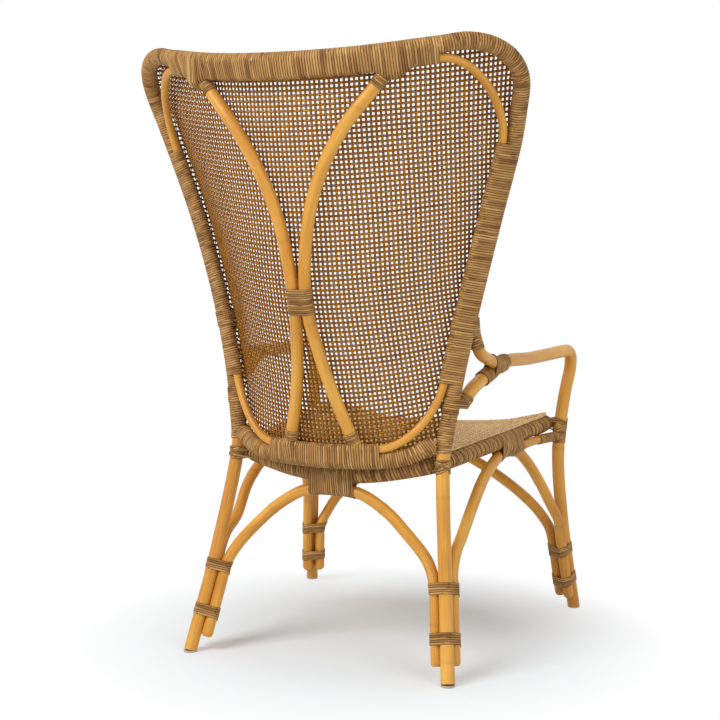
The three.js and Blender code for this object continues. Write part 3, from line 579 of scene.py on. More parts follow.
@dataclass(frozen=True)
class CaneFinish:
    """Flat split cane of wraps and bindings: tan and brown turns, dark specks, fine fibres, and painted shade
    darkening each strip towards its edges.
    """

    name: str = "wound cane"
    light: Triple = (0.62, 0.365, 0.13)
    middle: Triple = (0.42, 0.215, 0.064)
    dark: Triple = (0.18, 0.078, 0.021)
    # Colour of the real dark specks, also used for the painted shade in the gaps between strips.
    speck: Triple = (0.085, 0.034, 0.012)

    def build(self) -> Material:
        """Writes the material."""
        shade = Shade(self.name)
        turn, across = shade.attribute("turn"), shade.attribute("across")
        place = shade.node("ShaderNodeTexCoord")["Object"]
        lot = shade.noise(shade.vector(turn * 1.9, 4.0, 0.0), 1.0, 1.0)
        drift = shade.noise(place, 17.0, 2.0)
        fibre = shade.noise(shade.vector(across * 5.0, turn * 2.6, 0.0), 2.0, 3.0, 0.6)
        spots = shade.noise(shade.vector(across * 0.7, turn * 5.3, 7.0), 1.7, 2.0)
        tone = shade.node("ShaderNodeValToRGB", {"stops": [(0.4, self.dark), (0.5, self.middle), (0.61, self.light)]},
                          {"Fac": lot * 0.5 + drift * 0.16 + fibre * 0.34})["Color"]
        tone = shade.mix(spots.clamp(0.61, 0.68) * 0.85, tone, self.speck)
        # Painted shade: each strip is darkened towards its edges, where the gaps between neighbouring turns lie.
        edge = across.apply("ABSOLUTE").clamp(0.55, 0.95)
        tone = shade.mix(edge * 0.8, tone, self.speck)
        shade.feed("Base Color", tone)
        shade.feed("Specular IOR Level", 0.2)
        shade.feed("Roughness", 0.5 + fibre * 0.2)
        shade.relief(fibre, 0.3, 0.0006)
        return shade.material


@dataclass(frozen=True)
class StrandFinish:
    """Round cane strands of the weaves: each strand its own tone, streaked along its length, with painted shade
    darkening its edges.
    """

    name: str
    light: Triple
    middle: Triple
    dark: Triple
    # Strength of the painted shade at the strands' edges.
    edge: float = 0.95
    gloss: float = 0.45
    # Colour of the painted shade where strands meet and cross.
    gap: Triple = (0.075, 0.026, 0.007)

    def build(self) -> Material:
        """Writes the material."""
        shade = Shade(self.name)
        strand, along = shade.attribute("strand"), shade.attribute("along")
        around = shade.attribute("across")
        lot = shade.node("ShaderNodeTexWhiteNoise", {"noise_dimensions": "1D"},
                         {"W": (strand + 0.5).apply("FLOOR")})["Value"]
        streak = shade.noise(shade.vector(strand * 3.7, around * 0.8, along * 26.0), 1.0, 3.0)
        fibre = shade.noise(shade.vector(around * 7.0, strand * 1.9, along * 60.0), 1.6, 2.0)
        tone = shade.node("ShaderNodeValToRGB", {"stops": [(0.3, self.dark), (0.5, self.middle), (0.7, self.light)]},
                          {"Fac": lot * 0.14 + streak * 0.62 + fibre * 0.24})["Color"]
        # Painted shade: the strands' edges are darkened towards the gap colour, as shade falls between strands.
        edge = around.apply("ABSOLUTE").clamp(0.12, 0.8) * shade.attribute("outward").apply("ABSOLUTE").clamp(0.0, 0.5)
        tone = shade.mix(edge * self.edge, tone, self.gap)
        shade.feed("Base Color", tone)
        shade.feed("Specular IOR Level", 0.1)
        shade.feed("Roughness", self.gloss + fibre * 0.15)
        shade.relief(fibre, 0.25, 0.0005)
        return shade.material


@dataclass(frozen=True)
class NylonFinish:
    """Pale moulded floor glide, a little scuffed."""

    name: str = "pale nylon"
    colour: Triple = (0.42, 0.40, 0.37)
    scuff: Triple = (0.36, 0.31, 0.26)

    def build(self) -> Material:
        """Writes the material."""
        shade = Shade(self.name)
        place = shade.node("ShaderNodeTexCoord")["Object"]
        worn = shade.noise(place, 240.0, 3.0)
        shade.feed("Base Color", shade.mix(worn.clamp(0.5, 0.75) * 0.6, self.colour, self.scuff))
        shade.feed("Roughness", 0.45 + worn * 0.2)
        shade.relief(worn, 0.15, 0.0003)
        return shade.material


def unit(vectors: Array) -> Array:
    """Vectors of length one along the last axis."""
    return vectors / np.linalg.norm(vectors, axis=-1, keepdims=True)


def ease(share: Array) -> Array:
    """A smooth step from zero to one, level at both ends."""
    held = np.clip(share, 0, 1)
    return held ** 2 * (3 - 2 * held)


def attach(mesh: Mesh, name: str, values: Sequence) -> None:
    """Stores a number or a vector on each point of a mesh.

    Args:
        mesh: The mesh.
        name: Name of the attribute.
        values: A number or a vector for each point.
    """
    table = np.ascontiguousarray(values, np.float32)
    kind, key = ("FLOAT", "value") if table.ndim == 1 else ("FLOAT_VECTOR", "vector")
    mesh.attributes.new(name, kind, "POINT").data.foreach_set(key, table.ravel())


@dataclass
class Route:
    """A line through space in millimetres, with the places of its chosen points."""

    points: Array
    marks: list[int] = field(default_factory=list)
    closed: bool = False
    knots: Array | None = None

    @classmethod
    def smooth(cls, chosen: Sequence, closed: bool = False, step: float = 5.0) -> "Route":
        """A smooth line through chosen points.

        Args:
            chosen: The points to pass through.
            closed: Whether the line runs round into itself.
            step: Distance between stations.

        Returns:
            The route.
        """
        p = np.array(chosen, float)
        count = len(p)
        before = np.roll(p, 1, 0) if closed else np.vstack([2 * p[0] - p[1], p[:-1]])
        after = np.roll(p, -1, 0) if closed else np.vstack([p[1:], 2 * p[-1] - p[-2]])
        spans = count if closed else count - 1
        stations, marks, knots = [], [], []
        for k in range(spans):
            p0, p1, p2 = before[k], p[k], after[k]
            p3 = after[(k + 1) % count]
            gaps = [max(math.sqrt(np.linalg.norm(b - a)), 1e-6) for a, b in ((p0, p1), (p1, p2), (p2, p3))]
            leave = ((p1 - p0) / gaps[0] - (p2 - p0) / (gaps[0] + gaps[1]) + (p2 - p1) / gaps[1]) * gaps[1]
            arrive = ((p2 - p1) / gaps[1] - (p3 - p1) / (gaps[1] + gaps[2]) + (p3 - p2) / gaps[2]) * gaps[1]
            bend = (p1, leave, -3 * p1 + 3 * p2 - 2 * leave - arrive, 2 * p1 - 2 * p2 + leave + arrive)
            pieces = max(2, math.ceil(np.linalg.norm(p2 - p1) / step))
            marks.append(len(stations))
            for t in np.arange(pieces) / pieces:
                stations.append(sum(term * t ** power for power, term in enumerate(bend)))
            knots += [sum(term * t ** power for power, term in enumerate(bend)) for t in cls._rests(bend, p2)]
        if not closed:
            marks.append(len(stations))
            stations.append(p[-1])
        return cls(np.array(stations), marks, closed, np.array(knots))

    @staticmethod
    def _rests(bend: tuple, end: Array) -> list[float]:
        """Places on a span where a coarse line of it would rest: more of them on a deep bend.

        Args:
            bend: The span's four terms.
            end: Its end.

        Returns:
            The places, as shares of the span.
        """
        half = sum(term * 0.5 ** power for power, term in enumerate(bend))
        chord = end - bend[0]
        share = np.clip((half - bend[0]) @ chord / (chord @ chord), 0, 1)
        sag = np.linalg.norm(bend[0] + chord * share - half)
        return [0.0] + ([0.25] if sag > 8 else []) + ([0.5] if sag > 2 else []) + ([0.75] if sag > 8 else [])

    @cached_property
    def along(self) -> Array:
        """Unit direction at each station."""
        if self.closed:
            return unit(np.roll(self.points, -1, 0) - np.roll(self.points, 1, 0))
        return unit(np.gradient(self.points, axis=0))

    @cached_property
    def travelled(self) -> Array:
        """Distance from the start at each station."""
        return np.r_[0, np.cumsum(np.linalg.norm(np.diff(self.points, axis=0), axis=1))]

    def part(self, first: int, last: int) -> "Route":
        """The stretch between two stations, both kept."""
        return Route(self.points[first:last + 1])

    def stretch(self, middle: Array, length: float) -> "Route":
        """A stretch of that length round the station nearest to a place.

        Args:
            middle: The place.
            length: The length.

        Returns:
            The stretch, in even steps.
        """
        centre = self.travelled[self.nearest(middle)]
        places = np.linspace(centre - length / 2, centre + length / 2, max(5, math.ceil(length / 3)))
        columns = [np.interp(places, self.travelled, self.points[:, axis]) for axis in range(3)]
        return Route(np.stack(columns, 1))

    def on(self, side: Side) -> "Route":
        """The route on one half of the chair."""
        return Route(side.place(self.points), self.marks, self.closed)

    def at_height(self, height: float) -> Array:
        """The lowest-running crossing of a level.

        Args:
            height: The level.

        Returns:
            The crossing that is nearest to the end.
        """
        z = self.points[:, 2]
        hits = np.nonzero((z[:-1] - height) * (z[1:] - height) <= 0)[0]
        ends = [self.points[i] + (self.points[i + 1] - self.points[i]) * (height - z[i]) / (z[i + 1] - z[i] + 1e-9)
                for i in hits]
        return min(ends, key=lambda p: np.linalg.norm(p[:2] - self.points[-1, :2]))

    def nearest(self, place: Array) -> int:
        """Number of the station nearest to a place."""
        return int(np.argmin(np.linalg.norm(self.points - place, axis=1)))

    def crossing(self, place: Array, normal: Array, spread: float) -> tuple[Array, Array] | None:
        """Where the route crosses the plane through a place, and its direction there.

        Args:
            place: Point of the plane.
            normal: Direction square to the plane.
            spread: Farthest crossing that counts.

        Returns:
            The crossing nearest to the place and the direction, or None.
        """
        heights = (self.points - place) @ normal
        ahead = np.roll(heights, -1) if self.closed else heights[1:]
        behind = heights if self.closed else heights[:-1]
        hits = np.nonzero(behind * ahead <= 0)[0]
        best = None
        for i in hits:
            j = (i + 1) % len(self.points)
            share = behind[i] / (behind[i] - ahead[i] + 1e-12)
            hit = self.points[i] + (self.points[j] - self.points[i]) * share
            away = np.linalg.norm(hit - place)
            if away < spread and (best is None or away < best[0]):
                best = (away, hit, self.along[i])
        return best and best[1:]


@dataclass
class Stock:
    """Sizes of poles and cane, in millimetres, shared by all pieces."""

    pole: float = 13.5
    brace: float = 12.0
    arch: float = 11.5
    elbow: float = 12.0
    hoop: float = 8.0
    rail: float = 9.0
    wrap: float = 2.8
    strip: float = 1.8
    winding: float = 1.5
    fit: float = 0.3
    lash_gap: float = 0.9
    hoop_wall: float = 1.5
    glide: float = 4.0
    weave: float = 5.0
    binding_fit: float = 0.4
    facets: int = 8

    @property
    def wrapped(self) -> float:
        """Radius of a wrapped pole."""
        return self.pole + self.wrap

    @property
    def under_wrap(self) -> float:
        """Radius under the strips of a wrapped pole."""
        return self.wrapped - self.winding

    @property
    def hoop_under_wrap(self) -> float:
        """Radius under the strips of the wrapped hoop."""
        return self.hoop + self.wrap - self.winding

    @property
    def hoop_spacing(self) -> float:
        """Distance from the frame pole's middle to the hoop's."""
        return self.pole + self.hoop + 2 * self.fit + self.hoop_wall

    def strip_reach(self, radius: float) -> float:
        """Reach of a binding round a pole of that radius."""
        return (radius + self.binding_fit) / math.cos(math.pi / self.facets) + self.strip


class Workshop:
    """Makes pieces from routes: it holds the recipes and finishes and knows the chair's place in the frame."""

    knuckle_shift: float = 0.37
    lay_shift: float = 1.7
    least_lean: float = 0.35
    step_place: float = 0.9

    def __init__(self, stock: Stock, rear_foot: Pair) -> None:
        """Writes recipes and finishes and finds the row's place.

        Args:
            stock: Shared sizes.
            rear_foot: Place of the left rear foot in the chair's own layout, in millimetres.
        """
        low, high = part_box("glide_rear_left")
        self.stock = stock
        self.shift = np.array([0.0, (low.y + high.y) / 2 / MILLI - rear_foot[1], 0.0])
        self.poles, self.winding = PoleRecipe(), WindingRecipe()
        self.weave, self.braid = WeaveRecipe(), BraidRecipe()
        self.finishes = {
            Slot.POLE: PoleFinish().build(),
            Slot.WRAP: CaneFinish().build(),
            Slot.WEAVE: StrandFinish("back cane", (0.66, 0.305, 0.045), (0.43, 0.168, 0.018),
                                     (0.20, 0.065, 0.006)).build(),
            # The seat's strands get a weaker painted shade at their edges.
            Slot.SEAT: StrandFinish("seat cane", (0.94, 0.71, 0.41), (0.84, 0.56, 0.27), (0.60, 0.35, 0.15),
                                    edge=0.25, gloss=0.55).build(),
            Slot.GLIDE: NylonFinish().build(),
        }
        self.count = 0

    def row(self, points: Array) -> Array:
        """Points of the chair's layout in the row frame, in metres."""
        return (points + self.shift) * MILLI

    def keep(self, piece: Object, slot: Slot, nodes: Sequence[str] = ()) -> None:
        """Rides a piece on the chair's body.

        Args:
            piece: The finished object.
            slot: Finish slot of the record; not used.
            nodes: CAD nodes that the piece stands for.
        """
        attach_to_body(piece, BODY)
        if nodes:
            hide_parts(*nodes)
        LOG.info("%s: %d faces", piece.name, len(piece.data.polygons))

    def thread(self, route: Route, values: dict[str, Array] | None = None) -> Mesh:
        """A mesh of edges along a route, with attributes on its points.

        Args:
            route: The line, in millimetres.
            values: Numbers or vectors for each station, in metres.

        Returns:
            The mesh.
        """
        mesh = bpy.data.meshes.new("thread")
        count = len(route.points)
        links = [(i, i + 1) for i in range(count - 1)] + ([(count - 1, 0)] if route.closed else [])
        mesh.from_pydata(self.row(route.points).tolist(), links, [])
        for name, table in (values or {}).items():
            attach(mesh, name, table)
        return mesh

    def pole(self, name: str, route: Route, radius: float, spacing: float = 0.27,
             rounding: float = 0.0) -> None:
        """A bare pole that stands for the CAD node of the same name.

        Args:
            name: The CAD node.
            route: Its middle line.
            radius: Its radius in millimetres.
            spacing: Distance between knuckles in metres.
            rounding: How much its ends draw in, as a share of the radius.
        """
        self.count += 1
        piece = self.poles.shape(name + "_pole", self.thread(route), {
            "Radius": radius * MILLI, "Step": 0.0035, "Sides": 24, "Knuckle spacing": spacing,
            "Knuckle swell": 0.04, "Shift": self.knuckle_shift * self.count % 1.0, "End rounding": rounding,
            "Material": self.finishes[Slot.POLE]})
        self.keep(piece, Slot.POLE, [name])

    def wind(self, name: str, route: Route, core: float | Array, mates: Sequence[tuple] = (), pitch: float = 4.2,
             thickness: float = 1.5, spread: float = 56.0, nodes: Sequence[str] | None = None,
             cover: float = 1.02, slack: float = 0.3, hand: int = 1, level: bool = False,
             aim: Sequence[float] | None = None) -> None:
        """A strip wound along a route round its core and the poles beside it.

        Args:
            name: The piece, and the CAD node it stands for unless nodes are given.
            route: The line that the turns follow.
            core: Radius round the line itself, in millimetres.
            mates: Up to two routes with their radius, or with a radius for each station of the line.
            pitch: Distance between turns.
            thickness: Thickness of the strip.
            spread: Farthest distance of a mate that counts.
            nodes: CAD nodes that the piece stands for.
            cover: Strip width as a share of the pitch.
            slack: Unevenness of the turns, in millimetres.
            hand: One or minus one, the way the turns run round.
            level: Whether each turn lies flat and steps over to the next at one place.
            aim: The way that the strip faces at its middle, or where its level turns step over.
        """
        count = len(route.points)
        values = {"core": np.broadcast_to(np.asarray(core, float), (count,)) * MILLI}
        for key, mate in zip("ab", list(mates) + [None] * (2 - len(mates))):
            centres, skews, axes = np.zeros((3, count, 3))
            girths = np.full(count, FAR)
            for i in range(count if mate else 0):
                radius = mate[1] if np.isscalar(mate[1]) else mate[1][i]
                found = mate[0].crossing(route.points[i], route.along[i], spread) if radius > 0 else None
                if found:
                    centres[i], axes[i] = found[0] - route.points[i], found[1]
                    lean = float(found[1] @ route.along[i])
                    flat = found[1] - lean * route.along[i]
                    skews[i] = flat / max(abs(lean), self.least_lean) * radius
                    girths[i] = radius
            values |= {"mate_" + key: centres * MILLI, "skew_" + key: skews * MILLI, "axis_" + key: axes,
                       "girth_" + key: girths * MILLI}
        self.count += 1
        lay = self.lay_shift * self.count
        if aim is not None:
            ahead = route.along[0]
            first = np.array([1.0, 0.0, 0.0]) if abs(ahead[2]) > 0.99999 else unit(
                np.array([ahead[1], -ahead[0], 0.0]))
            share = self.step_place if level else route.travelled[-1] / pitch / 2
            lay = math.atan2(np.dot(np.cross(ahead, first), aim), np.dot(first, aim)) - hand * share * math.tau
        piece = self.winding.shape(name + "_turns", self.thread(route, values), {
            "Pitch": pitch * MILLI, "Width": pitch * cover * MILLI, "Thickness": thickness * MILLI,
            "Lay": lay, "Slack": slack * MILLI, "Hand": float(hand), "Level": float(level), "Steps": 20, "Sides": 8,
            "Material": self.finishes[Slot.WRAP]})
        self.keep(piece, Slot.WRAP, [name] if nodes is None else nodes)


def polygon_margin(outline: Array, places: Array) -> Array:
    """Distance of places from a closed outline, positive inside.

    Args:
        outline: Corners of the outline, two numbers each.
        places: Places, two numbers each.

    Returns:
        A distance for each place.
    """
    start, end = outline, np.roll(outline, -1, 0)
    span = end - start
    offset = places[:, None, :] - start[None]
    share = np.clip((offset * span).sum(-1) / (span ** 2).sum(-1), 0, 1)
    away = np.linalg.norm(offset - share[..., None] * span, axis=-1).min(1)
    x, y = places[:, 0:1], places[:, 1:2]
    crosses = (start[:, 1] > y) != (end[:, 1] > y)
    at = start[:, 0] + (y - start[:, 1]) * span[:, 0] / np.where(span[:, 1] == 0, 1e-9, span[:, 1])
    within = (crosses & (x < at)).sum(1) % 2 == 1
    return np.where(within, away, -away)


class Sheet:
    """A woven sheet: strands in two families at given places, inside an outline, on a surface."""

    columns: Array
    rows: Array
    outline: Array
    start: float = 1.0
    least: float = 3.0
    reach: float = 2.2
    tries: int = 23
    weft_first: int = 500

    def flat(self, across: Array, along: Array) -> Array:
        """Places in the outline's plane for strand places."""
        raise NotImplementedError

    def margin(self, places: Array) -> Array:
        """Distance inside the outline."""
        return polygon_margin(self.outline, places)

    def surface(self, places: Array, margins: Array) -> tuple[Array, Array]:
        """Points in space, and the way the sheet faces there."""
        raise NotImplementedError

    def _end(self, across: float, along: float, step: Pair) -> Pair:
        """Where a strand that leaves a crossing meets the outline.

        Args:
            across: The crossing's place over the columns.
            along: The crossing's place over the rows.
            step: The way out.

        Returns:
            The end's place over the columns and rows.
        """
        shares = np.linspace(0, self.reach, self.tries)
        margins = self.margin(self.flat(across + shares * step[0], along + shares * step[1]))
        past = np.nonzero(margins < self.start)[0]
        last = past[0] if len(past) else len(shares) - 1
        share = np.interp(-self.start, -margins[max(last - 1, 0):last + 1], shares[max(last - 1, 0):last + 1])
        return across + share * step[0], along + share * step[1]

    def net(self, workshop: Workshop, share: int, shares: int) -> Mesh:
        """The crossings of a share of the strands, as a mesh for the weave recipe.

        Args:
            workshop: For the row frame.
            share: Which strands: those whose number leaves this rest.
            shares: Number of shares.

        Returns:
            The mesh with its attributes.
        """
        across, along = np.meshgrid(self.columns, self.rows, indexing="ij")
        inside = (self.margin(self.flat(across.ravel(), along.ravel())) > self.least).reshape(across.shape)
        spots, lifts, numbers, links, families = [], [], [], [], []

        def spot(a: float, b: float, lift: float, number: int) -> int:
            """Notes a point of the net and returns its place in the list."""
            spots.append((a, b))
            lifts.append(lift)
            numbers.append(number)
            return len(spots) - 1

        for family, table in ((0, inside), (1, inside.T)):
            pitch = np.diff((self.rows, self.columns)[family]).mean()
            step = (0.0, pitch) if family == 0 else (pitch, 0.0)
            for i, line in enumerate(table):
                held = np.nonzero(line)[0]
                if i % shares != share or len(held) < 2:
                    continue
                for run in np.split(held, np.nonzero(np.diff(held) > 1)[0] + 1):
                    cells = [(i, j) if family == 0 else (j, i) for j in run]
                    places = [(self.columns[c], self.rows[r]) for c, r in cells]
                    ends = (self._end(*places[0], (-step[0], -step[1])), self._end(*places[-1], step))
                    chain = [spot(*ends[0], 0.0, i)]
                    chain += [spot(*p, 1.0 if (c + r) % 2 else -1.0, i) for p, (c, r) in zip(places, cells)]
                    chain.append(spot(*ends[1], 0.0, i))
                    links += list(zip(chain[:-1], chain[1:]))
                    families += [family] * (len(chain) - 1)
        places = self.flat(*np.array(spots).T)
        points, facing = self.surface(places, self.margin(places))
        mesh = bpy.data.meshes.new("net")
        mesh.from_pydata(workshop.row(points).tolist(), links, [])
        attach(mesh, "facing", facing)
        attach(mesh, "lift", lifts)
        attach(mesh, "warp_number", numbers)
        attach(mesh, "weft_number", np.array(numbers) + self.weft_first)
        for name, family in (("warp", 0), ("weft", 1)):
            mesh.attributes.new(name, "BOOLEAN", "EDGE").data.foreach_set("value", np.array(families) == family)
        return mesh

    def weave(self, workshop: Workshop, node: str, slot: Slot, pieces: int, sizes: dict[str, object]) -> None:
        """Builds the sheet in a few pieces that stand for one CAD node.

        Args:
            workshop: Maker of the pieces.
            node: The CAD node.
            slot: Finish slot.
            pieces: Number of pieces that share the strands.
            sizes: Sizes for the weave recipe.
        """
        for share in range(pieces):
            piece = workshop.weave.shape(f"{node}_strands_{share + 1}", self.net(workshop, share, pieces),
                                         {**sizes, "Material": workshop.finishes[slot]})
            workshop.keep(piece, slot, [node])


@dataclass
class Back:
    """The back: one bent frame pole that ends in the rear legs, hoop, bottom rail, wraps, braces and weave."""

    kit: Workshop
    stock: Stock
    bottom: float = 400.0
    top: float = 1200.0
    half_widths: tuple[float, ...] = (222, 243, 278, 322, 371, 405)
    side_depths: tuple[float, ...] = (222, 204.5, 200, 209, 235, 296)
    centre_depths: tuple[float, ...] = (287, 334, 387, 416, 447, 465)
    top_outline: tuple = ((0, 44), (140, 38), (274, 20), (322, 12.5), (358, 20), (382, 41), (390, 74))
    top_double: int = 2
    double_top: float = 1011.0
    double_bottom: float = 555.0
    wrap_foot: float = 424.0
    rail_outline: tuple = ((0, 5), (60, 6), (115, 8), (152, 13), (182, 24), (208, 42))
    rail_double: int = 2
    corner_pull: float = 0.32
    brace_lower: tuple = ((60, 0.041), (52, 0.07), (26, 0.18), (10, 0.28))
    brace_tie: float = 0.4025
    brace_sink: float = 14.0
    brace_bulge: float = 5.0
    top_tie_share: float = 0.72
    flare_shift: float = 16.0
    brace_upper: tuple = ((19, 0.5875), (53, 0.7025), (98, 0.796), (151, 0.8775), (174, 0.914))
    rear_foot: Pair = (279, 330)
    knee_share: float = 0.58
    leg_bow: Pair = (-4, -7)
    strip_pitch: float = 4.8
    column_pitch: float = 9.6
    row_pitch: float = 9.2
    row_bow: float = 34.0
    flare_half: float = 38.0
    foot_half: float = 24.0
    foot_drop: float = 2.0
    hoop_reach: float = 56.0
    clear_share: float = 0.4
    foot_tie_length: float = 21.0
    top_tie_length: float = 36.0

    def depth(self, values: Sequence[float], z: Array) -> Array:
        """A table of the back read at heights.

        Args:
            values: The table, at even heights.
            z: The heights.

        Returns:
            A value for each height.
        """
        table = np.array(values, float)
        table = np.r_[2 * table[0] - table[1], table, 2 * table[-1] - table[-2]]
        place = np.clip((np.asarray(z, float) - self.bottom) / (self.top - self.bottom), 0, 1) * (len(values) - 1)
        k = np.minimum(place.astype(int), len(values) - 2)
        t = place - k
        a, b, c, d = (table[k + i] for i in range(4))
        leave, arrive = (c - a) / 2, (d - b) / 2
        square, cube = -3 * b + 3 * c - 2 * leave - arrive, 2 * b - 2 * c + leave + arrive
        return b + leave * t + square * t ** 2 + cube * t ** 3

    def on(self, x: Array, z: Array) -> Array:
        """Points of the back's surface at places of its front view.

        Args:
            x: Distances from the middle.
            z: Heights.

        Returns:
            The points.
        """
        centre = self.depth(self.centre_depths, z)
        bow = centre - self.depth(self.side_depths, z)
        y = centre - bow * (np.asarray(x) / self.depth(self.half_widths, z)) ** 2
        return np.stack(np.broadcast_arrays(x, y, z), -1).astype(float)

    def normal(self, x: Array, z: Array) -> Array:
        """Unit normals of the back towards the sitter."""
        x, z = np.asarray(x, float), np.asarray(z, float)
        return unit(np.cross(self.on(x + 1, z) - self.on(x - 1, z), self.on(x, z + 1) - self.on(x, z - 1)))

    def side_point(self, z: float) -> Array:
        """Point of the left side of the frame at a height."""
        return np.array([self.depth(self.half_widths, z), self.depth(self.side_depths, z), z], float)

    def inward(self, points: Array, along: Array) -> Array:
        """Unit directions into the back's surface, square to a line on it.

        Args:
            points: Points of the line.
            along: Its directions.

        Returns:
            The directions.
        """
        ways = unit(np.cross(along, self.normal(points[:, 0], points[:, 2])))
        middle = np.stack([-points[:, 0], 0 * points[:, 0], (self.bottom + self.top) / 2 - points[:, 2]], -1)
        return ways * np.where((ways * middle).sum(1) < 0, -1, 1)[:, None]

    @cached_property
    def _half(self) -> list[Array]:
        """Chosen points of the frame pole from the top's middle to the left foot."""
        top = [self.on(x, self.top - drop) for x, drop in self.top_outline]
        heights = [(top[-1][2] + self.double_top) / 2]
        heights += list(np.linspace(self.double_top, self.double_bottom, 5))
        heights += [(self.double_bottom + self.wrap_foot) / 2, self.wrap_foot]
        side = [self.side_point(z) for z in heights]
        ground = np.array([*self.rear_foot, self.stock.glide])
        knee = side[-1] + (ground - side[-1]) * self.knee_share + np.array([*self.leg_bow, 0])
        return [*top, *side, knee, ground]

    @cached_property
    def pole(self) -> Route:
        """The frame pole from the right foot over the top to the left foot."""
        half = self._half
        return Route.smooth([p * FLIP for p in half[:0:-1]] + half)

    def mark(self, k: int) -> int:
        """Station of the k-th chosen point after the top's middle."""
        return self.pole.marks[len(self._half) - 1 + k]

    @cached_property
    def left(self) -> Route:
        """The frame pole from the top's middle to the left foot."""
        return Route(self.pole.points[self.mark(0):])

    @cached_property
    def leg(self) -> Route:
        """The lower part of the frame pole down to the left foot."""
        return Route(self.pole.points[self.mark(len(self.top_outline) + 5):])

    @cached_property
    def _rail_half(self) -> list[Array]:
        """Chosen points of the bottom rail from its middle to the left."""
        return [self.on(x, self.bottom + rise) for x, rise in self.rail_outline]

    @cached_property
    def rail(self) -> Route:
        """The bottom rail from right to left."""
        half = self._rail_half
        return Route.smooth([p * FLIP for p in half[:0:-1]] + half)

    @property
    def rail_middle(self) -> Array:
        """The bottom rail's middle."""
        return self._rail_half[0]

    def rail_mark(self, k: int) -> int:
        """Station of the k-th chosen point of the rail to the left of its middle."""
        return self.rail.marks[len(self._rail_half) - 1 + k]

    def _beside(self, route: Route, first: int, last: int) -> Array:
        """Points of the hoop beside a stretch of pole."""
        points, along = route.points[first:last + 1], route.along[first:last + 1]
        return points + self.inward(points, along) * self.stock.hoop_spacing

    @cached_property
    def hoop_half(self) -> Route:
        """The hoop from the top's middle down the left side to the bottom's middle."""
        count = len(self.top_outline)
        top = self._beside(self.pole, self.mark(0), self.mark(self.top_double))
        side = self._beside(self.pole, self.mark(count + 1), self.mark(count + 5))
        low = self._beside(self.rail, self.rail_mark(0), self.rail_mark(self.rail_double))[::-1]
        parts = [top, self._corner(top, side), side, self._corner(side, low), low]
        return Route(np.vstack(parts))

    def _corner(self, before: Array, after: Array) -> Array:
        """The hoop's swing across a corner of the back.

        Args:
            before: Its points up to the corner.
            after: Its points from there on.

        Returns:
            The points between.
        """
        start, end = before[-1], after[0]
        pull = np.linalg.norm(end - start) * self.corner_pull
        leave = start + unit(start - before[-2]) * pull
        arrive = end + unit(end - after[1]) * pull
        t = np.linspace(0, 1, 26)[1:-1, None]
        return (start * (1 - t) ** 3 + 3 * leave * t * (1 - t) ** 2 + 3 * arrive * t ** 2 * (1 - t) + end * t ** 3)

    @cached_property
    def hoop(self) -> Route:
        """The whole hoop."""
        half = self.hoop_half.points
        return Route(np.vstack([half, half[-2:0:-1] * FLIP]), closed=True)

    @property
    def weave_forward(self) -> float:
        """Distance of the weave in front of the frame pole's middle."""
        return self.stock.wrapped + self.stock.fit + self.stock.weave / 2

    @cached_property
    def brace_points(self) -> Array:
        """Chosen points of the left brace from below."""
        ahead = (self.weave_forward - self.stock.weave / 2 - self.stock.binding_fit
                 - self.stock.strip_reach(self.stock.brace))
        rows = np.array([*self.brace_lower, (0, self.brace_tie), *self.brace_upper], float)
        x = self.stock.brace + self.stock.fit + rows[:, 0]
        z = self.bottom + (self.top - self.bottom) * rows[:, 1]
        return self.on(x, z) + self.normal(x, z) * ahead

    @cached_property
    def brace(self) -> Route:
        """The left brace."""
        return Route.smooth(self.brace_points)

    @cached_property
    def sunk(self) -> Route:
        """The left brace with its ends run on under the wraps."""
        points = self.brace.points
        tips = [points[end] + unit(points[end] - points[near]) * self.brace_sink for end, near in ((0, 1), (-1, -2))]
        return Route(np.vstack([tips[0], points, tips[1]]))

    def build(self) -> None:
        """Makes the whole back."""
        self._build_poles()
        self._build_wraps()
        self._build_bindings()
        BackSheet(self).weave(self.kit, "back_weave", Slot.WEAVE, 3, {
            "Rise": 0.0010, "Width": 0.0052, "Thickness": 0.0020, "Sides": 6, "Bends": 3})

    def _build_poles(self) -> None:
        """Frame pole, hoop, rail and braces."""
        self.kit.pole("back_frame_pole", self.pole, self.stock.pole, spacing=0.31)
        self.kit.pole("back_inner_hoop", self.hoop, self.stock.hoop, spacing=0.23)
        self.kit.pole("back_bottom_rail", self.rail, self.stock.pole)
        for side in Side:
            self.kit.pole(f"back_brace_{side.word}", self.sunk.on(side), self.stock.brace, spacing=0.43)

